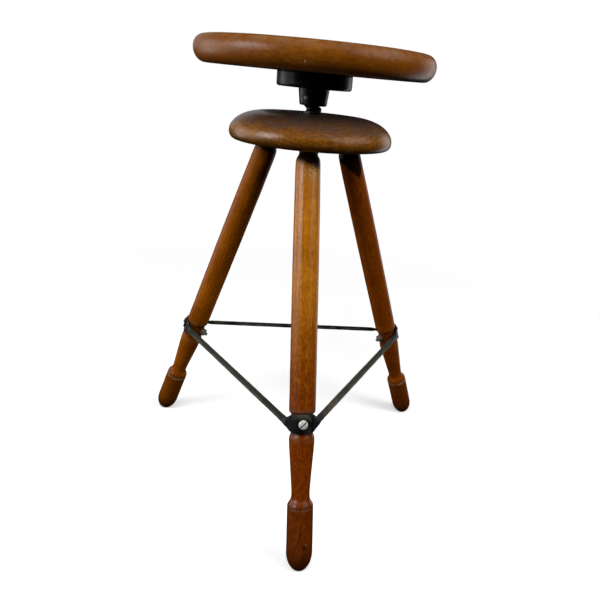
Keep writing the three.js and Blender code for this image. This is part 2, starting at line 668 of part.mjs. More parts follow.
function hubGroup() {
  const group = new THREE.Group();
  addPiece(group, 'leg_hub', geometryOf(legHub()), darkStain);
  addPiece(group, 'spindle_nut', geometryOf(spindleNut()), blackIron);
  addPiece(group, 'buffer_washer', geometryOf(bufferWasher()), leather);
  const screw = geometryOf(woodScrew(NUT_SCREW));
  NUT_SCREW_AZIMUTHS.forEach((azimuth, i) => {
    const mesh = addPiece(group, `nut_screw_${i + 1}`, screw, wornSteel);
    const angle = radians(azimuth);
    mesh.position.set(NUT_SCREW_CIRCLE * Math.cos(angle), NUT_SCREW_CIRCLE * Math.sin(angle), 0);
    mesh.position.z = NUT_BOTTOM - GAP;
    mesh.rotation.z = angle;
  });
  return group;
}

function legGroups() {
  const fastenings = [
    ['leg_screw', geometryOf(legScrew()), brightSteel],
    ['leg_washer', geometryOf(legWasher()), wornSteel],
    ['leg_nut', geometryOf(legNut()), wornSteel],
  ];
  return Object.entries(LEG_AZIMUTHS).map(([side, azimuth]) => {
    const lean = LEG_LEANS[side];
    const pieces = [['leg', geometryOf(leg(lean)), walnutStain], ...fastenings];
    const group = new THREE.Group();
    const angle = radians(azimuth);
    group.position.set(
      LEG_SPREAD.foot * Math.cos(angle), LEG_SPREAD.foot * Math.sin(angle), FOOT_CENTRE_HEIGHT,
    );
    group.rotation.set(0, -LEG_TILT, angle, 'ZYX');
    for (const [name, geometry, material] of pieces) {
      addPiece(group, `${name}_${side}`, leaning(geometry, lean), material);
    }
    return group;
  });
}

function stretcherGroup() {
  const group = new THREE.Group();
  const geometry = geometryOf(stretcher());
  const middles = { left: -150, right: -30, rear: 90 };
  for (const [side, azimuth] of Object.entries(middles)) {
    addPiece(group, `stretcher_${side}`, geometry, wornSteel).rotation.z = radians(azimuth);
  }
  return group;
}

// The origin is on the floor, at the middle of the stool's bounding box.
const assembly = new THREE.Group();
assembly.add(seatGroup(), hubGroup(), ...legGroups(), stretcherGroup());
const middle = new THREE.Box3().setFromObject(assembly, true).getCenter(new THREE.Vector3());
assembly.position.set(-middle.x, -middle.y, 0);

const stool = new THREE.Group();
stool.add(assembly);

export default stool;
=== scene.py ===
"""Visual model of an adjustable swivel stool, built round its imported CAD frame. Metres, +Z up."""
from math import atan2, ceil, cos, degrees, pi, radians, sin, sqrt, tau
import bpy
from mathutils import Matrix, Vector, noise


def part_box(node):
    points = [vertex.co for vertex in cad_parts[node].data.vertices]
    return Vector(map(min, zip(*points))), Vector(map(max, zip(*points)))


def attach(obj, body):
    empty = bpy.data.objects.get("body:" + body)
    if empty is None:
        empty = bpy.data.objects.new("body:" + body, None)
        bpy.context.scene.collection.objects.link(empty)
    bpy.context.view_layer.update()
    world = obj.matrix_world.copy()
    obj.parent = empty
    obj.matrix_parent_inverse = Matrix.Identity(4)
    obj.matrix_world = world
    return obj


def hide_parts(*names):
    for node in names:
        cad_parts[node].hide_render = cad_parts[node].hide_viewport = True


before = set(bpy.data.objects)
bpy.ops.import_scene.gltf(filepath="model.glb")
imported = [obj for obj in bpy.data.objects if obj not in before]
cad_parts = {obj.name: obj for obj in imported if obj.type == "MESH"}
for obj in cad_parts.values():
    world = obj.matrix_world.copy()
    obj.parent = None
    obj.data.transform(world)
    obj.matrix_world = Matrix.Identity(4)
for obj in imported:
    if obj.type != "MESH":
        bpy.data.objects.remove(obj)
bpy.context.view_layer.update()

MM = 0.001
UP = Vector((0, 0, 1))

noise.seed_set(1)  # without a seed, noise_vector takes its offsets from the clock


# ------ places, from the frame ------

def centre(node):
    low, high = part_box(node)
    return (low + high) / 2


def measured(node):
    """A round node's lowest and highest points and its radius."""
    low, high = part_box(node)
    return low.z, high.z, (high.x - low.x) / 2


AXIS = Vector((*centre("spindle").xy, 0))  # the screw's axis, on the floor
SEAT_BOTTOM, SEAT_TOP, SEAT_RADIUS = measured("seat")
HUB_BOTTOM, HUB_TOP, HUB_RADIUS = measured("leg_hub")
BOSS_BOTTOM, FLANGE_TOP, FLANGE_RADIUS = measured("seat_flange")
SPINDLE_BOTTOM, SPINDLE_TOP, SPINDLE_RADIUS = measured("spindle")
CREST_RADIUS = SPINDLE_RADIUS - 0.05 * MM
NUT_BOTTOM, NUT_TOP, NUT_FLANGE_RADIUS = measured("spindle_nut")
WASHER_BOTTOM, WASHER_TOP, WASHER_RADIUS = measured("buffer_washer")

# The legs' own dimensions, as in the CAD part.
LEG_AZIMUTHS = {"front": -90, "right": 30, "left": 150}
LEG_LEANS = {"front": 1.1, "right": 0, "left": 0}  # degrees sideways, about the leg's own screw
LEG_SPREAD_FOOT = 283.2 * MM
LEG_SPREAD_TOP = 70.3 * MM
FOOT_CENTRE_HEIGHT = 18.6 * MM
LEG_TILT = atan2(LEG_SPREAD_FOOT - LEG_SPREAD_TOP, HUB_BOTTOM - FOOT_CENTRE_HEIGHT)
LEG_LENGTH = (HUB_BOTTOM - FOOT_CENTRE_HEIGHT) / cos(LEG_TILT)
LUG_STATION = 191.5 * MM
GROOVE_RADIUS = 16.2 * MM
TENON_RADIUS = 13.2 * MM
CONTACT_GAP = 0.3 * MM


def turned_about(azimuth):
    return Matrix.Translation(AXIS) @ Matrix.Rotation(radians(azimuth), 4, "Z")


def leg_frame(side):
    """Local +Z runs up the leg's axis and local +X faces outward; the origin is near the foot."""
    foot = Matrix.Translation((LEG_SPREAD_FOOT, 0, FOOT_CENTRE_HEIGHT))
    to_screw = Matrix.Translation((0, 0, LUG_STATION))
    lean = to_screw @ Matrix.Rotation(radians(LEG_LEANS[side]), 4, "X") @ to_screw.inverted()
    return turned_about(LEG_AZIMUTHS[side]) @ foot @ Matrix.Rotation(-LEG_TILT, 4, "Y") @ lean


# ------ camera ------

CAMERA_FROM_AXIS = Vector((-68.5, -918.3, 652.5)) * MM
CAMERA_YAW = 0.1417  # radians, from +Y toward +X
CAMERA_PITCH = 0.3745  # downward
CAMERA_ROLL = 0.0943
CAMERA_LENS = 34.82
CAMERA_SHIFT = (-0.0588, 0.0138)


def linked(name, data):
    """A new object in the scene."""
    made = bpy.data.objects.new(name, data)
    bpy.context.scene.collection.objects.link(made)
    return made


def make_camera():
    data = bpy.data.cameras.new("camera")
    data.lens = CAMERA_LENS
    data.sensor_width = 36
    data.shift_x, data.shift_y = CAMERA_SHIFT
    data.dof.use_dof = False
    camera = linked("camera", data)
    level = cos(CAMERA_PITCH)
    ahead = Vector((
        sin(CAMERA_YAW) * level, cos(CAMERA_YAW) * level, -sin(CAMERA_PITCH),
    ))
    right = Vector((cos(CAMERA_YAW), -sin(CAMERA_YAW), 0))
    above = right.cross(ahead)
    rolled_right = right * cos(CAMERA_ROLL) + above * sin(CAMERA_ROLL)
    rolled_above = above * cos(CAMERA_ROLL) - right * sin(CAMERA_ROLL)
    axes = Matrix((rolled_right, rolled_above, -ahead)).transposed().to_4x4()
    camera.matrix_world = Matrix.Translation(AXIS + CAMERA_FROM_AXIS) @ axes
    bpy.context.scene.camera = camera


# ------ node materials ------

class Shader:
    """A node material being built, with one Principled surface."""

    def __init__(self, name):
        self.material = bpy.data.materials.new(name)
        self.material.use_nodes = True
        self.tree = self.material.node_tree
        self.tree.nodes.clear()
        self.surface = self.tree.nodes.new("ShaderNodeBsdfPrincipled")
        output = self.tree.nodes.new("ShaderNodeOutputMaterial")
        self.tree.links.new(self.surface.outputs[0], output.inputs["Surface"])

    def feed(self, socket, value):
        if isinstance(value, bpy.types.NodeSocket):
            self.tree.links.new(value, socket)
        else:
            socket.default_value = value

    def add(self, kind, inputs=(), **settings):
        made = self.tree.nodes.new("ShaderNode" + kind)
        for key, value in settings.items():
            setattr(made, key, value)
        for key, value in dict(inputs).items():
            self.feed(made.inputs[key], value)
        return made

    def math(self, operation, a, b=0.0, clamp=False):
        return self.add("Math", {0: a, 1: b}, operation=operation, use_clamp=clamp).outputs[0]

    def times(self, a, b, clamp=False):
        return self.math("MULTIPLY", a, b, clamp)

    def plus(self, a, b):
        return self.math("ADD", a, b)

    def place(self, scale=(1, 1, 1), shift=(0, 0, 0), turn=(0, 0, 0)):
        """Object coordinates, scaled, shifted and turned."""
        source = self.add("TexCoord").outputs["Object"]
        inputs = {"Vector": source, "Scale": scale, "Location": shift, "Rotation": turn}
        return self.add("Mapping", inputs).outputs[0]

    def drawn_out(self, vector, share):
        """Coordinates that stretch a pattern along Z."""
        return self.add("Mapping", {"Vector": vector, "Scale": (1, 1, share)}).outputs[0]

    def noise(self, vector, scale, detail=2.0, roughness=0.5):
        inputs = {"Vector": vector, "Scale": scale, "Detail": detail, "Roughness": roughness}
        return self.add("TexNoise", inputs).outputs[0]

    def ramp(self, value, *stops):
        """Colours or greys between positions; a stop is (position, colour or number)."""
        made = self.add("ValToRGB", {0: value})
        elements = made.color_ramp.elements
        while len(elements) < len(stops):
            elements.new(0.5)
        for element, (position, tone) in zip(elements, stops):
            element.position = position
            grey = isinstance(tone, (int, float))
            element.color = (tone, tone, tone, 1) if grey else (*tone, 1)
        return made.outputs[0]

    def mix(self, share, a, b, blend="MIX"):
        made = self.add("Mix", data_type="RGBA", blend_type=blend)
        self.feed(made.inputs["Factor"], share)
        for socket, value in ((made.inputs[6], a), (made.inputs[7], b)):
            constant = not isinstance(value, bpy.types.NodeSocket)
            self.feed(socket, (*value, 1) if constant and len(value) == 3 else value)
        return made.outputs[2]

    def attribute(self, name):
        return self.add("Attribute", attribute_name=name).outputs["Fac"]

    def bump(self, height, distance, normal=None):
        inputs = {"Height": height, "Distance": distance}
        if normal:
            inputs["Normal"] = normal
        return self.add("Bump", inputs).outputs[0]

    def finish(self, colour, rough, relief=None, **inputs):
        inputs = {"Base_Color": colour, "Roughness": rough, **inputs}
        if relief:
            inputs["Normal"] = relief
        for key, value in inputs.items():
            self.feed(self.surface.inputs[key.replace("_", " ")], value)
        return self.material


# Tones that the woods share. The deep stain, which also stands in for painted shade, multiplies the colour
# under it.
DEEP_STAIN_AND_SHADE = (0.42, 0.215, 0.14)
WEAR_AND_HIGHLIGHT_TONE = (0.30, 0.19, 0.10)
DUST_AND_SHEEN_TONE = (0.078, 0.054, 0.050)
FLAKE_GAP = (0.50, 0.25, 0.06)
FLAKE = (0.15, 0.048, 0.004)


def wood(
    name, tones, seed, grain="Z", board_width=None, roughness=(0.27, 0.37), shine=0.38, speckled=1.0,
    spots=(),
):
    """Stained and varnished wood. tones are (pore, dark, middle, light), grain is the fibres' axis,
    roughness is the varnish's least and most, shine is how much it reflects, speckled is how
    mottled the stain is and spots are marks as (place, half sizes, tone, share)."""
    pore, dark, middle, light = tones
    shader = Shader(name)
    turn = (0, 0, 0) if grain == "Z" else (0, pi / 2, 0)
    shift = (0.075 + 0.011 * seed, 0.052 - 0.007 * seed, 0.61 * seed)
    plain = shader.place(shift=shift, turn=turn)
    if board_width:
        plain = laid_in_boards(shader, plain, board_width)
    figure, fibres = wood_figure(shader, shader.drawn_out(plain, 0.06))
    colour = shader.ramp(figure, (0.30, dark), (0.52, middle), (0.78, light))
    # Short dark flecks along the fibres.
    dashes = shader.noise(shader.drawn_out(plain, 0.14), scale=1100, detail=1)
    flecks = shader.ramp(dashes, (0.64, 0.0), (0.72, 1.0))
    colour = shader.mix(shader.times(flecks, 0.5), colour, pore)
    # Uneven stain, from broad changes of hue down to a fine speckle.
    blotches = shader.noise(plain, scale=14, detail=4, roughness=0.6)
    uneven = shader.ramp(blotches, (0.3, (0.74, 0.64, 0.55)), (0.7, (1.10, 1.12, 1.05)))
    colour = shader.mix(1.0, colour, uneven, "MULTIPLY")
    speckle = shader.noise(shader.drawn_out(plain, 0.38), scale=400, detail=3, roughness=0.7)
    speckles = shader.ramp(speckle, (0.34, (0.42, 0.34, 0.28)), (0.5, (1, 1, 1)), (0.66, (1.7, 1.9, 1.8)))
    stain_and_shade = shader.attribute("stain_and_shade")
    share = shader.times(shader.plus(shader.times(stain_and_shade, 0.5), 0.5), speckled)
    colour = shader.mix(share, colour, shader.mix(1.0, colour, speckles, "MULTIPLY"))
    mottles = shader.noise(plain, scale=70, detail=4, roughness=0.7)
    stained = shader.times(shader.ramp(mottles, (0.54, 0.0), (0.74, 1.0)), 0.25)
    colour = shader.mix(stained, colour, pore)
    colour, shade_and_dirt, wear_and_highlight = aged(shader, colour, pore, stain_and_shade, plain, mottles)
    for spot in spots:
        colour = spotted(shader, colour, speckle, *spot)
    # Varnish: a fine stipple over the fibres.
    stipple = shader.noise(plain, scale=360, detail=3, roughness=0.6)
    relief = shader.bump(stipple, 0.26 * MM)
    relief = shader.bump(fibres, 0.04 * MM, normal=relief)
    relief = shader.bump(flecks, -0.04 * MM, normal=relief)
    rough = shader.ramp(blotches, (0.3, roughness[0]), (0.7, roughness[1]))
    rough = shader.plus(rough, shader.plus(shader.times(wear_and_highlight, 0.2), shader.times(shade_and_dirt, 0.06)))
    return shader.finish(colour, rough, relief, Specular_IOR_Level=shine)


def wood_figure(shader, along):
    """How light the grain is, from 0 to 1, and its fine fibres by themselves."""
    # Growth rings about a pith outside the piece, wandering slowly along the fibres.
    wander = shader.times(shader.noise(along, scale=22), 0.02)
    wandered = shader.add("VectorMath", {0: along, 1: wander}, operation="ADD").outputs[0]
    rings = shader.add(
        "TexWave",
        {"Vector": wandered, "Scale": 62.0, "Distortion": 2.0, "Detail": 2.0, "Detail Scale": 1.2},
        wave_type="RINGS", rings_direction="Z", wave_profile="SIN",
    ).outputs["Fac"]
    fibres = shader.noise(along, scale=1700, detail=3, roughness=0.6)
    streaks = shader.noise(along, scale=330, detail=4, roughness=0.65)
    figure = shader.plus(shader.times(rings, 0.08), shader.times(streaks, 0.44))
    return shader.plus(figure, shader.times(fibres, 0.48)), fibres


def aged(shader, colour, pore, stain_and_shade, plain, mottles):
    """The colour with deeper stain and painted shade, dirt and painted shade, wear and painted highlights,
    dust with a painted grey sheen, and crackled varnish, where the piece's marks say so, and how much dirt
    and shade and how much wear and highlight there is."""
    # deeper stain and painted shade, where the marks say so
    colour = shader.mix(stain_and_shade, colour, shader.mix(1.0, colour, DEEP_STAIN_AND_SHADE, "MULTIPLY"))
    patchy = shader.plus(shader.times(mottles, 0.9), 0.5)
    # dirt and painted shade, where the piece's marks put them
    shade_and_dirt = shader.times(shader.attribute("dirt_and_shade"), patchy, clamp=True)
    colour = shader.mix(shade_and_dirt, colour, tuple(0.25 * c for c in pore))
    # wear and painted highlights, where the marks say so
    wear_and_highlight = shader.times(shader.attribute("wear_and_highlight"), shader.ramp(mottles, (0.38, 0.1), (0.62, 1.0)))
    colour = shader.mix(wear_and_highlight, colour, WEAR_AND_HIGHLIGHT_TONE)
    # dust with a painted grey sheen, where the marks say so
    dust_and_sheen = shader.times(shader.attribute("dust_and_sheen"), shader.ramp(mottles, (0.36, 1.0), (0.6, 0.35)))
    colour = shader.mix(dust_and_sheen, colour, DUST_AND_SHEEN_TONE)
    cells = shader.add("TexVoronoi", {"Vector": plain, "Scale": 260.0}, feature="DISTANCE_TO_EDGE")
    flakes = shader.ramp(cells.outputs["Distance"], (0.04, FLAKE_GAP), (0.22, FLAKE))
    colour = shader.mix(shader.attribute("crackle"), colour, flakes)
    return colour, shade_and_dirt, wear_and_highlight


def spotted(shader, colour, speckle, place, sizes, tone, share):
    """The colour with one ragged spot of another tone."""
    inverse = tuple(1 / s for s in sizes)
    offset = tuple(-p / s for p, s in zip(place, sizes))
    spot = shader.place(scale=inverse, shift=offset)
    away = shader.add("VectorMath", {0: spot}, operation="LENGTH").outputs["Value"]
    ragged = shader.plus(away, shader.times(speckle, 0.8))
    return shader.mix(shader.ramp(ragged, (0.7, share), (1.0, 0.0)), colour, tone)


def laid_in_boards(shader, coordinates, width):
    """Shifts the coordinates board by board, so that the figure breaks at each glue line."""
    across = shader.add("SeparateXYZ", {0: coordinates}).outputs["Y"]
    board = shader.math("FLOOR", shader.math("DIVIDE", across, width))
    inputs = {"X": shader.times(board, 0.043), "Y": shader.times(board, 0.031), "Z": board}
    step = shader.add("CombineXYZ", inputs).outputs[0]
    return shader.add("VectorMath", {0: coordinates, 1: step}, operation="ADD").outputs[0]


def painted_iron():
    """Gloss black paint on a cast surface, with a few small chips."""
    shader = Shader("black_painted_iron")
    fine = shader.place()
    sand = shader.noise(fine, scale=300, detail=4, roughness=0.6)
    lumps = shader.noise(fine, scale=90, detail=2)
    chips = shader.ramp(shader.noise(fine, scale=210, detail=3, roughness=0.7), (0.66, 0.0), (0.70, 1.0))
    colour = shader.mix(lumps, (0.0018, 0.0015, 0.0017), (0.004, 0.0036, 0.0038))
    colour = shader.mix(shader.times(chips, 0.6), colour, (0.10, 0.09, 0.08))
    relief = shader.bump(sand, 0.12 * MM)
    relief = shader.bump(lumps, 0.5 * MM, normal=relief)
    rough = shader.ramp(sand, (0.3, 0.22), (0.7, 0.34))
    return shader.finish(colour, rough, relief, Specular_IOR_Level=0.3)


def forged_steel():
    """Black forged strap, blacker on its lugs and painted black all along the rear strap as shade, rusty in
    places and rubbed paler along its edges.
    """
    shader = Shader("forged_steel")
    fine = shader.place()
    skin = shader.noise(fine, scale=170, detail=5, roughness=0.65)
    patches = shader.noise(fine, scale=42, detail=3)
    colour = shader.ramp(skin, (0.3, (0.020, 0.023, 0.020)), (0.7, (0.036, 0.038, 0.031)))
    tarnish = shader.ramp(patches, (0.52, 0.0), (0.72, 0.55))
    colour = shader.mix(tarnish, colour, (0.040, 0.039, 0.030))
    speckle = shader.ramp(shader.noise(fine, scale=560, detail=2), (0.50, 0.0), (0.64, 1.0))
    colour = shader.mix(shader.times(speckle, 0.25), colour, (0.072, 0.069, 0.056))
    rust = shader.times(shader.attribute("rusty"), speckle)
    colour = shader.mix(rust, colour, (0.21, 0.16, 0.085))
    # blacker lugs, and painted shade where the whole rear strap is black
    black_and_shade = shader.attribute("black_and_shade")
    colour = shader.mix(black_and_shade, colour, (0.0028, 0.003, 0.0036))
    rubbed = shader.ramp(patches, (0.40, 0.0), (0.62, 0.6))
    edge = shader.times(shader.attribute("edge"), rubbed)
    colour = shader.mix(edge, colour, (0.085, 0.078, 0.058))
    relief = shader.bump(skin, 0.3 * MM)
    rough = shader.ramp(skin, (0.3, 0.6), (0.7, 0.46))
    rough = shader.math("SUBTRACT", rough, shader.times(black_and_shade, 0.1))
    return shader.finish(colour, rough, relief, Specular_IOR_Level=0.24)


def oiled_iron():
    """The screw: dark oil in the root, brighter metal on the crest."""
    shader = Shader("oiled_screw_iron")
    fine = shader.place()
    smear = shader.noise(fine, scale=230, detail=3)
    crest = shader.times(shader.attribute("edge"), shader.ramp(smear, (0.3, 0.25), (0.7, 1.0)))
    colour = shader.mix(crest, (0.008, 0.007, 0.007), (0.07, 0.065, 0.06))
    relief = shader.bump(smear, 0.12 * MM)
    rough = shader.ramp(smear, (0.3, 0.28), (0.7, 0.45))
    return shader.finish(colour, rough, relief, Metallic=0.8)


def bright_steel():
    """The leg screws: brushed, with painted shade in the slots, and darker all over on the rear legs."""
    shader = Shader("bright_screw_steel")
    brushed = shader.noise(shader.place(scale=(1, 0.05, 1)), scale=2600, detail=2)
    stain = shader.noise(shader.place(), scale=420, detail=3)
    colour = shader.ramp(stain, (0.35, (0.52, 0.5, 0.44)), (0.65, (0.78, 0.78, 0.72)))
    colour = shader.mix(shader.attribute("dirt_and_shade"), colour, (0.006, 0.005, 0.004))
    relief = shader.bump(brushed, 0.02 * MM)
    rough = shader.ramp(stain, (0.3, 0.42), (0.7, 0.28))
    return shader.finish(colour, rough, relief, Metallic=0.3)


def dull_steel():
    """The small fastenings: grey steel that has begun to rust."""
    shader = Shader("dull_fastener_steel")
    fine = shader.place()
    rust = shader.noise(fine, scale=350, detail=4, roughness=0.7)
    bare, dull, brown = (0.22, 0.20, 0.18), (0.13, 0.10, 0.08), (0.07, 0.04, 0.02)
    colour = shader.ramp(rust, (0.35, bare), (0.55, dull), (0.75, brown))
    # painted shade on the wood screws' slot floors
    colour = shader.mix(shader.attribute("dirt_and_shade"), colour, (0.02, 0.017, 0.015))
    relief = shader.bump(rust, 0.15 * MM)
    rough = shader.ramp(rust, (0.3, 0.38), (0.7, 0.62))
    return shader.finish(colour, rough, relief, Metallic=0.3)


def leather():
    shader = Shader("pressed_leather")
    fine = shader.place()
    cells = shader.add("TexVoronoi", {"Vector": fine, "Scale": 900.0}, feature="F1").outputs["Distance"]
    stain = shader.noise(fine, scale=200, detail=3)
    colour = shader.ramp(stain, (0.3, (0.02, 0.011, 0.006)), (0.7, (0.06, 0.034, 0.018)))
    relief = shader.bump(cells, 0.12 * MM)
    rough = shader.ramp(stain, (0.3, 0.6), (0.7, 0.8))
    return shader.finish(colour, rough, relief)


# Stains as (pore, dark, middle, light).
SEAT_TONES = ((0.026, 0.006, 0.0004), (0.120, 0.032, 0.0012), (0.185, 0.055, 0.0022), (0.260, 0.086, 0.0045))
HUB_TONES = ((0.022, 0.007, 0.0009), (0.132, 0.042, 0.0032), (0.220, 0.080, 0.0075), (0.330, 0.132, 0.0150))
LEG_TONES = ((0.060, 0.015, 0.0006), (0.250, 0.078, 0.0020), (0.390, 0.138, 0.0040), (0.520, 0.200, 0.0080))


# ------ meshes ------

def solid_mesh(points, faces):
    mesh = bpy.data.meshes.new("solid")
    mesh.from_pydata([tuple(p) for p in points], [], faces)
    mesh.validate()
    return mesh


def modified(mesh, *modifiers):
    """The mesh after modifiers, each given as (type, settings)."""
    holder = linked("holder", mesh)
    for kind, settings in modifiers:
        modifier = holder.modifiers.new(kind, kind)
        for key, value in settings.items():
            setattr(modifier, key, value)
    shapes = bpy.context.evaluated_depsgraph_get()
    made = bpy.data.meshes.new_from_object(holder.evaluated_get(shapes), depsgraph=shapes)
    bpy.data.objects.remove(holder)
    bpy.data.meshes.remove(mesh)
    return made


def joined(mesh, other, operation="UNION"):
    """Joins the other solid on, or with DIFFERENCE cuts it out."""
    tool = linked("tool", other)
    made = modified(mesh, ("BOOLEAN", {"operation": operation, "solver": "EXACT", "object": tool}))
    bpy.data.objects.remove(tool)
    bpy.data.meshes.remove(other)
    return made


def piece(name, body, material, mesh, matrix, sharp=40, marks=None):
    """A named object riding on a body. marks holds one number per point, listed or worked out
    from the point's place, for the material to read."""
    mesh.name = name
    for key, mark in (marks or {}).items():
        values = [mark(v.co) for v in mesh.vertices] if callable(mark) else mark
        mesh.attributes.new(key, "FLOAT", "POINT").data.foreach_set("value", values)
    mesh.materials.clear()
    mesh.materials.append(material)
    mesh.shade_smooth()
    mesh.set_sharp_from_angle(angle=radians(sharp))
    made = linked(name, mesh)
    made.matrix_world = matrix
    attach(made, body)
    return made


ON_AXIS = 1e-7  # a radius below this is a point on the axis


def polar(radius, angle, height=0.0):
    """The point at an angle in radians round +Z."""
    return Vector((radius * cos(angle), radius * sin(angle), height))


def circle(radius, height, sides):
    return [polar(radius, tau * i / sides, height) for i in range(sides)]


def band(low, high, sides):
    """Faces between two rings of points, told by the number of each ring's first point."""
    pairs = [(i, (i + 1) % sides) for i in range(sides)]
    return [(low + i, low + j, high + j, high + i) for i, j in pairs]


def revolved(profile, sides):
    """Points and faces of a closed solid of revolution about +Z. The profile is (radius, height)
    pairs, bottom to top on the outside; it starts and ends on the axis or closes on itself."""
    starts, points, faces = [], [], []
    closed = profile[0] == profile[-1]
    rows = profile[:-1] if closed else profile
    for radius, height in rows:
        starts.append(len(points))
        points += [Vector((0, 0, height))] if radius < ON_AXIS else circle(radius, height, sides)
    for low in range(len(rows) if closed else len(rows) - 1):
        high = (low + 1) % len(rows)
        a, b = starts[low], starts[high]
        if rows[low][0] < ON_AXIS:
            faces += [(a, b + (i + 1) % sides, b + i) for i in range(sides)]
        elif rows[high][0] < ON_AXIS:
            faces += [(a + i, a + (i + 1) % sides, b) for i in range(sides)]
        else:
            faces += band(a, b, sides)
    return points, faces


def rounded(centre_radius, centre_height, across, high, start, end, steps):
    """Profile points on an ellipse between two angles in degrees; 0 is outward and 90 is up."""
    angles = [radians(start + (end - start) * i / steps) for i in range(steps + 1)]
    return [(centre_radius + across * cos(a), centre_height + high * sin(a)) for a in angles]


def smooth_outline(knots, step):
    """Profile points in metres, a step apart, on a monotone cubic through (station, diameter) knots in
    millimetres."""
    xs = [station * MM for station, diameter in knots]
    ys = [diameter * MM / 2 for station, diameter in knots]
    slopes = [(ys[i + 1] - ys[i]) / (xs[i + 1] - xs[i]) for i in range(len(xs) - 1)]
    tangents = [slopes[0]]
    for before, after in zip(slopes, slopes[1:]):
        tangents.append(0 if before * after <= 0 else 2 * before * after / (before + after))
    tangents.append(slopes[-1])
    outline = []
    for i in range(len(slopes)):
        width = xs[i + 1] - xs[i]
        count = max(1, round(width / step))
        for k in range(count):
            t = k / count
            value = ((1 + 2 * t) * (1 - t) ** 2 * ys[i] + t * (1 - t) ** 2 * width * tangents[i]
                     + t * t * (3 - 2 * t) * ys[i + 1] + t * t * (t - 1) * width * tangents[i + 1])
            outline.append((value, xs[i] + width * t))
    outline.append((ys[-1], xs[-1]))
    return outline


def hand_finished(points, amount, size, seed):
    """Moves points by slow noise, as on a surface finished by hand."""
    offset = Vector((seed, -seed, 2.5 * seed))
    return [p + noise.noise_vector(p / size + offset) * amount for p in points]


def bump_at(value, middle, width):
    """1 at the middle, fading to 0 a width away."""
    return max(0.0, 1 - abs(value - middle) / width)


def box_mesh(low, high, turn=0.0):
    """A box between two corners, turned about +Z."""
    matrix = Matrix.Rotation(turn, 4, "Z")
    xs, ys, zs = zip(low, high)
    corners = [Vector((x, y, z)) for z in zs for y in ys for x in xs]
    faces = [(0, 2, 3, 1), (4, 5, 7, 6), (0, 1, 5, 4), (2, 6, 7, 3), (0, 4, 6, 2), (1, 3, 7, 5)]
    return solid_mesh([matrix @ c for c in corners], faces)


def ramped(value, start, end):
    """0 before the start and 1 after the end, straight between."""
    return min(max((value - start) / (end - start), 0.0), 1.0)


# ------ seat and hub ------

UNEVEN = 0.12 * MM  # how far the turned faces wander, inside the CAD solids


def make_seat(material):
    thick = SEAT_TOP - SEAT_BOTTOM
    top_across, top_high = 14.8 * MM, 16.6 * MM
    low_across, low_high = 16.8 * MM, 20 * MM
    flat_rings = [0.02, 0.05, 0.08, 0.11, 0.135]
    profile = [(0, 0)]
    profile += [(r, 0) for r in flat_rings]
    profile += rounded(SEAT_RADIUS - low_across, low_high, low_across, low_high, -90, 0, 14)
    profile += rounded(SEAT_RADIUS - top_across, thick - top_high, top_across, top_high, 0, 90, 14)[1:]
    profile += [(r, thick) for r in reversed(flat_rings)]
    profile += [(0, thick)]
    points, faces = revolved(profile, 192)
    points = [p * (1 - UNEVEN / SEAT_RADIUS) for p in hand_finished(points, UNEVEN, 0.05, 3)]

    def wear_and_highlight(p):
        return 0.35 * bump_at(p.z, thick * 0.9, 7 * MM) if p.xy.length > 0.15 else 0.0

    # painted shade along the underside's edge
    def dirt_and_shade(p):
        return 0.5 * (1 - ramped(p.z, 0, 9 * MM))

    place = Matrix.Translation(AXIS + UP * SEAT_BOTTOM)
    marks = {"wear_and_highlight": wear_and_highlight, "dirt_and_shade": dirt_and_shade}
    seat = piece("seat_disc", "seat", material, solid_mesh(points, faces), place, marks=marks)
    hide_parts("seat")


WELL_RADIUS = 14.8 * MM
NUT_RECESS_RADIUS = 21.3 * MM
WASHER_SINK = 1.8 * MM


def make_hub(material):
    thick = HUB_TOP - HUB_BOTTOM
    recess_top = NUT_TOP - HUB_BOTTOM + CONTACT_GAP
    top_across, top_high = 52.6 * MM, 31.8 * MM
    low_across, low_high = 8.8 * MM, 10.6 * MM
    washer_seat = WASHER_RADIUS + CONTACT_GAP
    profile = [(NUT_RECESS_RADIUS, 0)]
    profile += [(r, 0) for r in (0.04, 0.06, 0.08, 0.1)]
    profile += rounded(HUB_RADIUS - low_across, low_high, low_across, low_high, -90, 0, 10)
    profile += rounded(HUB_RADIUS - top_across, thick - top_high, top_across, top_high, 0, 90, 28)[1:]
    profile += [(r, thick) for r in (0.055, 0.04, 0.027)]
    profile += [(washer_seat + 0.4 * MM, thick), (washer_seat, thick - 0.4 * MM)]
    profile += [(washer_seat, thick - WASHER_SINK), (WELL_RADIUS, thick - WASHER_SINK)]
    profile += [(WELL_RADIUS, recess_top), (NUT_RECESS_RADIUS, recess_top), profile[0]]
    points, faces = revolved(profile, 160)
    points = [p * (1 - UNEVEN / HUB_RADIUS) for p in hand_finished(points, UNEVEN, 0.045, 8)]

    # darker towards the top, and painted shade along the bottom edge
    def dirt_and_shade(p):
        return 0.35 * ramped(p.z / thick, 0.55, 0.9) + (1 - ramped(p.z, 0, 16 * MM))

    # dust and a painted grey sheen over the dome's top
    def dust_and_sheen(p):
        edge = 0.47 + 0.12 * noise.noise(p / (22 * MM)) + 0.06 * noise.noise(p / (6 * MM))
        return 0.9 * ramped(p.z / thick, edge, edge + 0.24)

    place = Matrix.Translation(AXIS + UP * HUB_BOTTOM)
    marks = {"dirt_and_shade": dirt_and_shade, "dust_and_sheen": dust_and_sheen}
    hub = piece("hub_dome", "base", material, solid_mesh(points, faces), place, marks=marks)
    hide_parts("leg_hub")


# ------ legs ------

FOOT_RADIUS = 18.8 * MM
FOOT_DOME = 28.4 * MM
FOOT_DOME_STATION = 8 * MM

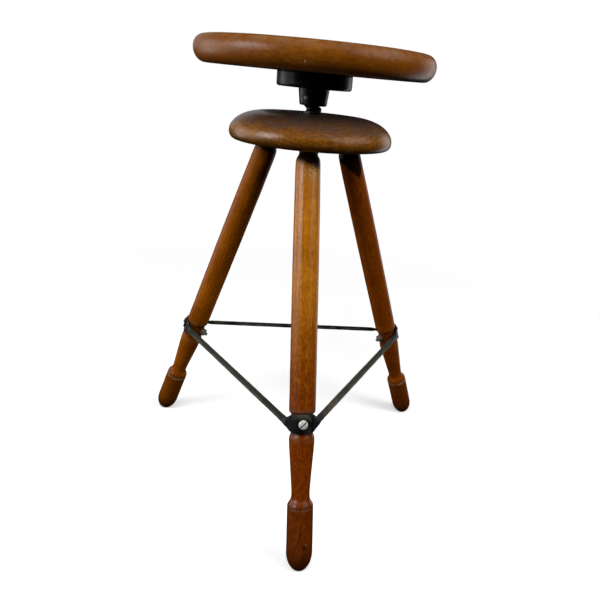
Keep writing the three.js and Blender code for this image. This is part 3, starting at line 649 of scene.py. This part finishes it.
# Outline between the foot's cylinder and the groove, and from the groove to the neck, as
# (station, diameter) in millimetres.
ANKLE = [(68, 37.6), (73, 37.3), (75.2, 36.4), (77.8, 33.2), (80.8, 29.2), (84.5, 26.9), (89, 26.2),
         (97, 26.8), (108, 28.4), (131, 31.8), (154, 35.3), (164, 36.5), (168, 36.6), (171.5, 35.6),
         (174, 33.6), (176, 32.4)]
SHAFT = [(205, 32.4), (205.5, 35.9), (206.5, 37.4), (208.5, 38.05), (260, 38.1), (390, 38.1), (492, 37.1),
         (546, 36), (557, 35.6), (562.5, 34.6), (566, 32.4), (569, 28.6), (572, 26.5)]

# How much deeper stain and painted shade each leg has at its top and at its foot, from 0 to 1; the rear
# legs' higher values and the front leg's darkening towards its foot are partly painted shade.
LEG_STAIN_AND_SHADE = {"front": (0, 1), "right": (0.86, 0.88), "left": (0.58, 0.72)}

# Marks under the hub, by their stations in millimetres and degrees round the leg from outward.
NECK_STATIONS = {"front": 557, "right": 549, "left": 559}  # where the painted shadow of the hub starts
DROOP_FACING = 35  # where it starts lower on the front leg
CRACKLE_STATION, CRACKLE_FACING = 541, 22  # crackled varnish on the front leg
DARK_TONGUE_STATION, DARK_TONGUE_FACING = 526, -94  # where the dark zone at the right leg's top reaches furthest down


def angle_between(point, facing):
    """Degrees round a leg from a facing to a point, -180 to 180."""
    angle = degrees(atan2(point.y, point.x)) - facing
    return (angle + 180) % 360 - 180


def leg_profile():
    profile = [(0, FOOT_DOME_STATION - FOOT_DOME)]
    profile += rounded(0, FOOT_DOME_STATION, FOOT_RADIUS, FOOT_DOME, -86, 0, 16)
    profile += [(FOOT_RADIUS, s * MM) for s in (24, 40, 54, 64, 67)]
    profile += smooth_outline(ANKLE, 2 * MM)
    profile += smooth_outline(SHAFT, 6 * MM)
    profile += [(TENON_RADIUS, LEG_LENGTH + 10 * MM), (0, LEG_LENGTH + 10 * MM)]
    return profile


def make_leg(side, material):
    top_stain_and_shade, foot_stain_and_shade = LEG_STAIN_AND_SHADE[side]
    points, faces = revolved(leg_profile(), 72)
    place = leg_frame(side)
    settle = place.inverted()
    seed = list(LEG_AZIMUTHS).index(side) + 1
    standing = []
    for p in hand_finished(points, 0.18 * MM, 0.03, 11 * seed):
        inward = p - Vector((p.x, p.y, 0)) * 0.006
        in_world = place @ inward
        in_world.z = max(in_world.z, 0.02 * MM)  # the tip is worn flat on the floor
        standing.append(settle @ in_world)

    def dirt_and_shade(p):
        s = p.z / MM
        # painted shade in the groove where the strap's lug wraps the leg
        groove = 1.3 * bump_at(s, 192, 23)
        shoulder = 0.6 * bump_at(s, 72, 9)
        foot = 0.36 * (1 - ramped(s, 66, 76)) + 0.6 * (1 - ramped(s, -22, 26))
        # the dark zone at the right leg's top reaches further down on one side
        tongue_edge = DARK_TONGUE_STATION + 32 * min(abs(angle_between(p, DARK_TONGUE_FACING)) / 75, 1)
        tongue = 1.8 * ramped(s, tongue_edge - 2, tongue_edge + 2) if side == "right" else 0
        # painted shadow of the hub across the leg's neck, reaching lower on one side of the front leg
        droop = 12 * bump_at(angle_between(p, DROOP_FACING), 0, 85) if side == "front" else 0
        neck_edge = NECK_STATIONS[side] - droop
        neck = 1.3 * ramped(s, neck_edge, neck_edge + 8)
        return max(groove, neck, shoulder, foot, tongue)

    # deeper stain and painted shade, growing towards the foot
    def stain_and_shade(p):
        return top_stain_and_shade + (foot_stain_and_shade - top_stain_and_shade) * (1 - ramped(p.z / MM, 205, 440))

    # wear with painted highlights: pale lines on the foot's shoulder rim, strongest on the rear legs, on the
    # groove's upper lip and on the ankle's bead
    def wear_and_highlight(p):
        s = p.z / MM
        rim = 0.3 if side == "front" else 1.4
        return max(rim * bump_at(s, 70, 2.2), 0.3 * bump_at(s, 208, 2.5), 0.15 * bump_at(s, 167, 4))

    def crackle(p):
        if side != "front":
            return 0.0
        level = bump_at(p.z / MM, CRACKLE_STATION, 12)
        return min(0.85, 1.4 * level * bump_at(angle_between(p, CRACKLE_FACING), 0, 62))

    marks = {"dirt_and_shade": dirt_and_shade, "stain_and_shade": stain_and_shade, "wear_and_highlight": wear_and_highlight, "crackle": crackle}
    leg = piece(
        f"turned_leg_{side}", "base", material, solid_mesh(standing, faces), place, 35, marks,
    )
    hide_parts(f"leg_{side}")


# ------ stretchers ------

LUG_HALF_HEIGHT = 13.5 * MM
LUG_THICKNESS = 2.5 * MM
LUG_TAPER = (12 * MM, 38 * MM)
BAR_HALF_WIDTH = 5 * MM
BAR_THICKNESS = 4.5 * MM
BAR_TWIST = (5 * MM, 28 * MM)
BEND_LENGTH = 8 * MM


def eased(value):
    return value * value * (3 - 2 * value)


def strap_half_width(distance):
    """Half width at a distance from the screw: a round-ended lug, which narrows to the bar."""
    if distance < 0:
        return sqrt(max(LUG_HALF_HEIGHT ** 2 - distance ** 2, 0))
    return LUG_HALF_HEIGHT + (BAR_HALF_WIDTH - LUG_HALF_HEIGHT) * eased(ramped(distance, *LUG_TAPER))


def strap_thickness(distance):
    return LUG_THICKNESS + (BAR_THICKNESS - LUG_THICKNESS) * eased(ramped(distance, *LUG_TAPER))


def strap_end(inner_radius):
    """Sections of the strap past the leg at azimuth -60, from the lug's tip to the flat bar, as
    (centre, across, out, half width, half thickness). The strap runs along +Y."""
    azimuth = radians(-60)
    outward = polar(1, azimuth)
    sideways = Vector((-sin(azimuth), cos(azimuth), 0))
    axis = UP * cos(LEG_TILT) - outward * sin(LEG_TILT)
    face = UP * sin(LEG_TILT) + outward * cos(LEG_TILT)
    on_axis = outward * LEG_SPREAD_FOOT + UP * FOOT_CENTRE_HEIGHT + axis * LUG_STATION
    bend_radius = inner_radius + LUG_THICKNESS / 2
    leave_angle = atan2(sideways.x, face.x)
    leave_distance = bend_radius * leave_angle

    def point_at(angle):
        return on_axis + (face * cos(angle) + sideways * sin(angle)) * bend_radius

    def tangent_at(angle):
        return sideways * cos(angle) - face * sin(angle)

    sections = []

    def add(centre_point, along, across, distance):
        across_unit = (across - along * across.dot(along)).normalized()
        out = along.cross(across_unit).normalized()
        half_width, half_thickness = strap_half_width(distance), strap_thickness(distance) / 2
        sections.append((centre_point, across_unit, out, half_width, half_thickness))

    tip_steps = 14
    reach = 0.999 * LUG_HALF_HEIGHT  # a little short, so that the first section has some width
    tip = [-reach * cos(pi / 2 * i / tip_steps) for i in range(tip_steps)]
    lap = [leave_distance * i / 18 for i in range(19)]
    for distance in tip + lap:
        angle = distance / bend_radius
        add(point_at(angle), tangent_at(angle), axis, distance)
    ahead = Vector((0, 1, 0))
    inward = Vector((-1, 0, 0))
    leave = point_at(leave_angle)
    knee = leave + tangent_at(leave_angle) * BEND_LENGTH
    level = knee + ahead * BEND_LENGTH
    steps = 30
    for i in range(1, steps + 1):
        travelled = BAR_TWIST[1] * i / steps
        t = min(travelled / (2 * BEND_LENGTH), 1)
        past = max(travelled - 2 * BEND_LENGTH, 0)
        centre_point = leave * (1 - t) ** 2 + knee * 2 * t * (1 - t) + level * t * t + ahead * past
        along = ((knee - leave) * (1 - t) + (level - knee) * t).normalized()
        twist = eased(ramped(travelled, *BAR_TWIST)) * pi / 2
        across = axis * cos(twist) + inward * sin(twist)
        add(centre_point, along, across, leave_distance + travelled)
    return sections


def strap_section(half_width, half_thickness):
    """Rounded rectangle as (across, out, how much of an edge it is)."""
    radius = min(0.95 * MM, 0.8 * half_thickness, 0.8 * half_width)
    outline = []
    for corner, (side, face) in enumerate(((1, 1), (-1, 1), (-1, -1), (1, -1))):
        for i in range(4):
            angle = pi / 2 * (corner + i / 3)
            a = side * (half_width - radius) + radius * cos(angle)
            b = face * (half_thickness - radius) + radius * sin(angle)
            outline.append((a, b, 1.0))
        if corner in (0, 2):  # points along the two faces
            for share in (0.3, 0.5, 0.7):
                a = side * (1 - 2 * share) * (half_width - radius)
                outline.append((a, face * half_thickness, 0.0))
    return outline


def make_stretcher(side, azimuth, material):
    near = strap_end(GROOVE_RADIUS + CONTACT_GAP)
    far = strap_end(GROOVE_RADIUS + 2 * CONTACT_GAP + LUG_THICKNESS)
    flip = Matrix.Scale(-1, 3, (0, 1, 0))
    far = [(flip @ c, flip @ a, flip @ o, w, t) for c, a, o, w, t in reversed(far)]
    first, last = near[-1], far[0]
    bar_steps = 40
    middle = []
    for i in range(1, bar_steps):
        share = i / bar_steps
        middle.append((first[0].lerp(last[0], share), *first[1:]))
    rings = near + middle + far
    points, edges, black_and_shade, rusty = [], [], [], []
    for ring, (centre_point, across, out, half_width, half_thickness) in enumerate(rings):
        from_end = min(ring, len(rings) - 1 - ring) / len(near)
        for a, b, edge in strap_section(half_width, half_thickness):
            points.append(centre_point + across * a + out * b)
            edges.append(edge)
            # blacker towards the lugs; the rear strap black all along, as painted shade
            black_and_shade.append(max(1 - ramped(from_end, 0.62, 1.0), 1.0 if side == "rear" else 0))
            rusty.append(bump_at(ring, len(near) + 3, 7) if side == "right" else 0.0)
    count = len(points) // len(rings)
    faces = [tuple(reversed(range(count))), tuple(range(len(points) - count, len(points)))]
    for ring in range(len(rings) - 1):
        faces += band(ring * count, (ring + 1) * count, count)
    points = hand_finished(points, 0.12 * MM, 0.012, azimuth * 0.1 + 20)
    marks = {"edge": edges, "black_and_shade": black_and_shade, "rusty": rusty}
    strap = piece(
        f"forged_strap_{side}", "base", material, solid_mesh(points, faces),
        turned_about(azimuth), 50, marks,
    )
    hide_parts(f"stretcher_{side}")


# ------ flange, screw, nut and washer ------

FLANGE_HEIGHT = 21.5 * MM
FLANGE_WALL = 6 * MM
FLANGE_PLATE = 6 * MM
RIB_HALF_WIDTH = 2.5 * MM
RIB_DEPTH = 11 * MM
BOSS_TOP_RADIUS = 23.2 * MM
BOSS_BOTTOM_RADIUS = 20.7 * MM
BOSS_ROUND = 2.5 * MM
SHANK_RADIUS = 11.5 * MM


def make_flange(material):
    """Cast dish with a boss and four ribs, its corners softened as a casting's are."""
    high = FLANGE_TOP - BOSS_BOTTOM
    rim = high - FLANGE_HEIGHT
    plate = high - FLANGE_PLATE
    inside = FLANGE_RADIUS - FLANGE_WALL
    bore = SHANK_RADIUS + CONTACT_GAP
    fillet = 3 * MM
    lip, edge = 2 * MM, 4 * MM
    profile = [(bore, 0)]
    profile += rounded(BOSS_BOTTOM_RADIUS - BOSS_ROUND, BOSS_ROUND, BOSS_ROUND, BOSS_ROUND, -90, 0, 6)
    profile += [(BOSS_TOP_RADIUS, rim), (BOSS_TOP_RADIUS, plate - fillet)]
    profile += [(BOSS_TOP_RADIUS + fillet, plate), (inside - fillet, plate), (inside, plate - fillet)]
    profile += rounded(inside + lip, rim + lip, lip, lip, -180, -90, 6)
    profile += rounded(FLANGE_RADIUS - edge, rim + edge, edge, edge, -90, 0, 8)
    profile += [(FLANGE_RADIUS, high), (bore, high), (bore, 0)]
    mesh = solid_mesh(*revolved(profile, 96))
    overlap = 2 * MM
    rib_low = (BOSS_TOP_RADIUS - overlap, -RIB_HALF_WIDTH, plate - RIB_DEPTH)
    rib_high = (inside + overlap, RIB_HALF_WIDTH, plate + overlap)
    for i in range(4):
        mesh = joined(mesh, box_mesh(rib_low, rib_high, pi / 2 * i))
    mesh = modified(
        mesh,
        ("REMESH", {"mode": "VOXEL", "voxel_size": 1.0 * MM}),
        ("SMOOTH", {"factor": 0.5, "iterations": 4}),
    )
    place = Matrix.Translation(AXIS + UP * BOSS_BOTTOM)
    flange = piece("cast_flange", "seat", material, mesh, place, 180)
    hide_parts("seat_flange")


LEAD = 12.7 * MM
ROOT_RADIUS = 9.8 * MM
CREST_HEIGHT_ON_LEFT = 601 * MM  # height of a crest on the -X side


def thread_share(angle, height):
    """0 in the root and 1 on the crest of the right-hand thread."""
    turns = (height - CREST_HEIGHT_ON_LEFT) / LEAD - (angle - pi) / tau
    from_crest = abs((turns + 0.5) % 1 - 0.5)  # 0 on the crest's middle and 0.5 in the root's
    return 1 - eased(ramped(from_crest, 0.1, 0.4))


def make_spindle(material):
    shank_from = BOSS_BOTTOM - CONTACT_GAP
    thread_length = shank_from - SPINDLE_BOTTOM
    sides = 56
    count = ceil(thread_length / (LEAD / 18))
    points = [Vector((0, 0, SPINDLE_BOTTOM))]
    edges = [0.0]
    for row in range(count + 1):
        height = SPINDLE_BOTTOM + thread_length * row / count
        chamfer = ROOT_RADIUS - 1 * MM + (height - SPINDLE_BOTTOM)
        for i in range(sides):
            angle = tau * i / sides
            share = thread_share(angle, height)
            radius = min(ROOT_RADIUS + (CREST_RADIUS - ROOT_RADIUS) * share, chamfer)
            points.append(polar(radius, angle, height))
            edges.append(max(0.0, 2 * share - 1))
    points += circle(SHANK_RADIUS, shank_from, sides) + circle(SHANK_RADIUS, SPINDLE_TOP, sides)
    points.append(Vector((0, 0, SPINDLE_TOP)))
    edges += [0.0] * (2 * sides + 1)
    faces = []
    last = len(points) - 1 - sides
    for start in range(1, last, sides):
        faces += band(start, start + sides, sides)
    for i in range(sides):
        j = (i + 1) % sides
        faces.append((0, 1 + j, 1 + i))
        faces.append((last + i, last + j, len(points) - 1))
    place = Matrix.Translation(AXIS)
    mesh = solid_mesh(points, faces)
    screw = piece("threaded_spindle", "seat", material, mesh, place, 45, {"edge": edges})
    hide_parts("spindle")


def make_pin(name, cad_node, azimuth, length, material):
    """Straight cross pin with rounded ends, where the CAD pin is."""
    low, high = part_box(cad_node)
    radius = (high.z - low.z) / 2 - 0.02 * MM
    half, soft = length / 2, 1 * MM
    dome = rounded(radius - soft, half - soft, soft, soft, 0, 90, 4)
    profile = [(0, -half)] + [(r, -z) for r, z in reversed(dome)] + dome + [(0, half)]
    across = Matrix.Rotation(radians(azimuth), 4, "Z") @ Matrix.Rotation(pi / 2, 4, "Y")
    place = Matrix.Translation(centre(cad_node)) @ across
    mesh = solid_mesh(*revolved(profile, 32))
    pin = piece(name, "seat", material, mesh, place)
    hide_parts(cad_node)


def make_nut(material):
    flange_top = NUT_BOTTOM + 5 * MM
    barrel = 21 * MM
    bore = CREST_RADIUS + 0.6 * MM
    soft, chamfer = 1.5 * MM, 1 * MM
    rim = rounded(NUT_FLANGE_RADIUS - soft, NUT_BOTTOM + soft, soft, soft, -90, 0, 5)
    profile = [(bore + chamfer, NUT_BOTTOM), *rim, (NUT_FLANGE_RADIUS, flange_top), (barrel, flange_top)]
    profile += [(barrel, NUT_TOP), (bore, NUT_TOP), (bore, NUT_BOTTOM + chamfer), profile[0]]
    mesh = solid_mesh(*revolved(profile, 96))
    nut = piece("flanged_nut", "base", material, mesh, Matrix.Translation(AXIS))
    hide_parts("spindle_nut")


def make_washer(material):
    soft = 0.7 * MM
    outer, inner = WASHER_RADIUS - soft, 14.2 * MM + soft
    low, high = WASHER_BOTTOM + soft, WASHER_TOP - soft
    profile = []
    for start, corner in zip((-90, 0, 90, 180), ((outer, low), (outer, high), (inner, high), (inner, low))):
        profile += rounded(*corner, soft, soft, start, start + 90, 4)
    points, faces = revolved(profile + [profile[0]], 72)
    points = hand_finished(points, 0.15 * MM, 0.009, 5)
    mesh = solid_mesh(points, faces)
    washer = piece("leather_washer", "washer", material, mesh, Matrix.Translation(AXIS))
    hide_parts("buffer_washer")


# ------ fastenings ------

def slotted(mesh, reach, wide, floor, top, turn):
    """Cuts a screwdriver slot between two heights, through a head that faces along +Z or -Z."""
    low = (-reach, -wide / 2, min(floor, top))
    high = (reach, wide / 2, max(floor, top))
    return joined(mesh, box_mesh(low, high, turn), "DIFFERENCE")


# Wood screws' head radius, head height and shank radius.
SEAT_SCREW = (5 * MM, 3.2 * MM, 2.5 * MM)
NUT_SCREW = (4.6 * MM, 2.6 * MM, 2.3 * MM)
ON_FLOOR = 0.01 * MM  # a point this near a slot's floor is on it


def make_wood_screw(name, cad_node, body, sizes, material):
    """Round-headed screw pointing up, its head hanging below."""
    head_radius, head_high, shank_radius = sizes
    low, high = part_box(cad_node)
    head_top = low.z + head_high
    length = high.z - head_top
    profile = [(0, -head_high)] + rounded(0, 0, head_radius, head_high, -88, 0, 8)
    profile += [(shank_radius, 0), (shank_radius, length * 0.7), (0.4 * MM, length), (0, length)]
    floor = -0.55 * head_high
    turn = 2.4 * sum(map(ord, cad_node))  # each screw's slot ends up at its own angle
    mesh = solid_mesh(*revolved(profile, 40))
    mesh = slotted(mesh, 2 * head_radius, 1.1 * MM, floor, -2 * head_high, turn)

    # painted shade on the slot's floor
    def dirt_and_shade(p):
        return 1.0 if abs(p.z - floor) < ON_FLOOR else 0.0

    place = Matrix.Translation((*centre(cad_node).xy, head_top))
    screw = piece(name, body, material, mesh, place, marks={"dirt_and_shade": dirt_and_shade})
    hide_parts(cad_node)


LUG_STACK = GROOVE_RADIUS + 2 * (CONTACT_GAP + LUG_THICKNESS)
WASHER_FACE = GROOVE_RADIUS + CONTACT_GAP
WASHER_THICK = 1.5 * MM
NUT_FACE = WASHER_FACE + WASHER_THICK + CONTACT_GAP
NUT_THICK = 5 * MM
NUT_ACROSS = 10 * MM
SCREW_RADIUS = 3 * MM
SCREW_TAIL = 4 * MM
SCREW_HEAD_RADIUS = 6.5 * MM
SCREW_HEAD_HIGH = 3.6 * MM
SLOT_TURNS = {"front": -45, "right": 12, "left": 38}  # degrees


def fastening_frame(side):
    """Local +Z points straight out of the leg's outer face, along its screw."""
    facing = Matrix.Rotation(pi / 2, 4, "Y")
    return leg_frame(side) @ Matrix.Translation((0, 0, LUG_STATION)) @ facing


def make_leg_screw(side, material):
    head = LUG_STACK + CONTACT_GAP
    tail = -(NUT_FACE + NUT_THICK + SCREW_TAIL)
    shank, chamfer, soft, side_high = SCREW_RADIUS - 0.05 * MM, 0.6 * MM, 0.3 * MM, 1.4 * MM
    profile = [(0, tail), (SCREW_RADIUS - chamfer, tail), (shank, tail + chamfer), (shank, head)]
    profile += [(SCREW_HEAD_RADIUS - soft, head), (SCREW_HEAD_RADIUS, head + soft)]
    profile += [(SCREW_HEAD_RADIUS, head + side_high)]
    profile += rounded(0, head + side_high, SCREW_HEAD_RADIUS, SCREW_HEAD_HIGH - side_high, 12, 88, 9)
    profile += [(0, head + SCREW_HEAD_HIGH)]
    floor = head + SCREW_HEAD_HIGH - 1.6 * MM
    turn = radians(SLOT_TURNS[side])
    mesh = solid_mesh(*revolved(profile, 64))
    mesh = slotted(mesh, 2 * SCREW_HEAD_RADIUS, 1.7 * MM, floor, head + 10 * MM, turn)

    # painted shade on the slot's floor; the rear legs' screws darker all over
    def dirt_and_shade(p):
        in_slot = abs(p.z - floor) < ON_FLOOR
        return 1.0 if in_slot else 0.0 if side == "front" else 0.85

    screw = piece(
        f"slotted_screw_{side}", "base", material, mesh, fastening_frame(side),
        marks={"dirt_and_shade": dirt_and_shade},
    )
    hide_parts(f"leg_screw_{side}")


def make_leg_washer(side, material):
    radius, inner, soft = 7 * MM, SCREW_RADIUS + CONTACT_GAP, 0.3 * MM
    near, far = -WASHER_FACE, -WASHER_FACE - WASHER_THICK
    profile = [(inner, far), (radius - soft, far), (radius, far + soft), (radius, near - soft)]
    profile += [(radius - soft, near), (inner, near), (inner, far)]
    mesh = solid_mesh(*revolved(profile, 56))
    washer = piece(f"plain_washer_{side}", "base", material, mesh, fastening_frame(side))
    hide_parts(f"leg_washer_{side}")


def make_leg_nut(side, material):
    """Square nut with softened edges."""
    half, near, far = NUT_ACROSS / 2, -NUT_FACE, -NUT_FACE - NUT_THICK
    block = modified(
        box_mesh((-half, -half, far), (half, half, near)),
        ("BEVEL", {"width": 0.9 * MM, "segments": 3}),
    )
    bore = SCREW_RADIUS + CONTACT_GAP
    hole = [(0, far - MM), (bore, far - MM), (bore, near + MM), (0, near + MM)]
    mesh = joined(block, solid_mesh(*revolved(hole, 32)), "DIFFERENCE")
    nut = piece(f"square_nut_{side}", "base", material, mesh, fastening_frame(side), 35)
    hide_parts(f"leg_nut_{side}")


# ------ stage ------

def make_floor():
    """Pale disc that fades out at its edge. It takes the stool's shadow but throws no light back."""
    radius, sides = 1.6, 64
    points = [Vector((0, 0, 0))] + circle(radius, 0, sides)
    mesh = solid_mesh(points, [(0, 1 + i, 1 + (i + 1) % sides) for i in range(sides)])
    shader = Shader("pale_floor")
    away = shader.add("VectorMath", {0: shader.place()}, operation="LENGTH").outputs["Value"]
    solid_share = shader.ramp(shader.math("DIVIDE", away, radius), (0.25, 1.0), (0.95, 0.0))
    mesh.materials.append(shader.finish(
        (0.9, 0.9, 0.9, 1), 0.9, Alpha=solid_share, Emission_Color=(1, 1, 1, 1), Emission_Strength=0.35,
    ))
    floor = linked("floor", mesh)
    floor.visible_diffuse = False
    floor.visible_glossy = False


def area_light(name, place, target, size, power, glossy):
    """A soft light. One that isn't glossy lights the surfaces without showing in their varnish."""
    data = bpy.data.lights.new(name, "AREA")
    data.shape = "RECTANGLE"
    data.size, data.size_y = size
    data.energy = power
    lamp = linked(name, data)
    lamp.visible_glossy = glossy
    aim = (target - place).to_track_quat("-Z", "Y")
    lamp.matrix_world = Matrix.Translation(place) @ aim.to_matrix().to_4x4()


def background(tree, tint, strength):
    made = tree.nodes.new("ShaderNodeBackground")
    made.inputs["Color"].default_value = (*tint, 1)
    made.inputs["Strength"].default_value = strength
    return made.outputs[0]


def make_world():
    """White to the camera, and next to no light on the stool."""
    world = bpy.data.worlds.new("studio")
    bpy.context.scene.world = world
    world.use_nodes = True
    tree = world.node_tree
    tree.nodes.clear()
    paths = tree.nodes.new("ShaderNodeLightPath")
    either = tree.nodes.new("ShaderNodeMixShader")
    output = tree.nodes.new("ShaderNodeOutputWorld")
    tree.links.new(paths.outputs["Is Camera Ray"], either.inputs[0])
    tree.links.new(background(tree, (0.9, 0.95, 1), 0.01), either.inputs[1])
    tree.links.new(background(tree, (1, 1, 1), 1.0), either.inputs[2])
    tree.links.new(either.outputs[0], output.inputs["Surface"])


def around(azimuth, elevation, distance):
    """A place round the stool, seen from its middle, by azimuth and elevation in degrees."""
    level, slope = radians(azimuth), radians(elevation)
    return polar(distance * cos(slope), level, distance * sin(slope))


# Soft white lights as (name, azimuth, elevation, distance, size, power, whether it is glossy).
LIGHTS = (
    ("key_above", -108, 56, 2.6, (1.2, 1.2), 27, False),
    ("front_right", -28, 42, 2.4, (2.2, 1.8), 16, True),
    ("right_fill", -34, 34, 2.4, (1.2, 1.2), 35, False),
    ("window_front", -157, 25, 2.3, (1.1, 1.1), 25, True),
    ("window_left", -178, 8, 2.3, (1.5, 1.3), 6, True),
    ("left_fill", -172, -3, 2.3, (1.5, 1.3), 21, False),
    ("rim_left", 154, 6, 2.6, (0.9, 1.9), 11, True),
    ("rim_right", 40, -2, 2.6, (1.2, 2.4), 9.5, True),
    ("rim_back", 112, 16, 2.6, (1.8, 1.0), 2.5, True),
)


def make_lights():
    middle = AXIS + UP * 0.42
    for name, azimuth, elevation, distance, size, power, glossy in LIGHTS:
        area_light(name, middle + around(azimuth, elevation, distance), middle, size, power, glossy)


# ------ everything ------

# Marks in the wood as (place in the piece, half sizes, tone, share).
SEAT_MARKS = (((-0.0257, -0.1708, 0.010), (0.0013, 0.004, 0.0046), (0.55, 0.40, 0.22), 0.85),)
FOOT_MARKS = (
    ((0.0186, 0.005, 0.019), (0.010, 0.0078, 0.0085), (0.018, 0.008, 0.003), 0.65),  # a blemish
    ((0.0186, -0.001, 0.037), (0.010, 0.0026, 0.010), (0.014, 0.006, 0.002), 0.7),  # a crack above it
    ((0.0183, 0.008, 0.023), (0.008, 0.0014, 0.002), (0.42, 0.20, 0.15), 0.8),  # a painted glint on it
)
SEAT_BOARD = 0.12  # the width of the seat's boards


def leg_wood(side, seed):
    """The front leg is shinier and more mottled than the rear ones, and its foot is marked, with one painted
    glint among the marks.
    """
    front = side == "front"
    shine, speckled = (0.38, 0.7) if front else (0.1, 0.4)
    spots = FOOT_MARKS if front else ()
    name = f"leg_varnished_wood_{side}"
    return wood(name, LEG_TONES, seed, "Z", None, (0.23, 0.31), shine, speckled, spots)


def make_stool():
    painted, forged, oiled = painted_iron(), forged_steel(), oiled_iron()
    bright, dull, hide = bright_steel(), dull_steel(), leather()
    make_seat(wood("seat_varnished_wood", SEAT_TONES, 1, "X", SEAT_BOARD, speckled=0.5, spots=SEAT_MARKS))
    make_hub(wood("hub_varnished_wood", HUB_TONES, 2, "X", None, (0.18, 0.28), 0.45, 1.15))
    for seed, side in enumerate(LEG_AZIMUTHS, 3):
        make_leg(side, leg_wood(side, seed))
        make_leg_screw(side, bright)
        make_leg_washer(side, dull)
        make_leg_nut(side, dull)
    for side, azimuth in {"left": -150, "right": -30, "rear": 90}.items():
        make_stretcher(side, azimuth, forged)
    make_flange(painted)
    make_spindle(oiled)
    make_pin("boss_pin", "spindle_pin", -125, 2 * BOSS_BOTTOM_RADIUS + 4 * MM, dull)
    make_pin("end_stop_pin", "stop_pin", -90, 37 * MM, dull)
    make_nut(painted)
    make_washer(hide)
    for i in range(1, 5):
        make_wood_screw(f"flange_screw_{i}", f"seat_screw_{i}", "seat", SEAT_SCREW, dull)
    for i in range(1, 4):
        make_wood_screw(f"nut_flange_screw_{i}", f"nut_screw_{i}", "base", NUT_SCREW, dull)


make_camera()
make_world()
make_floor()
make_lights()
make_stool()

scene = bpy.context.scene
scene.view_settings.view_transform = "Standard"
scene.view_settings.look = "None"
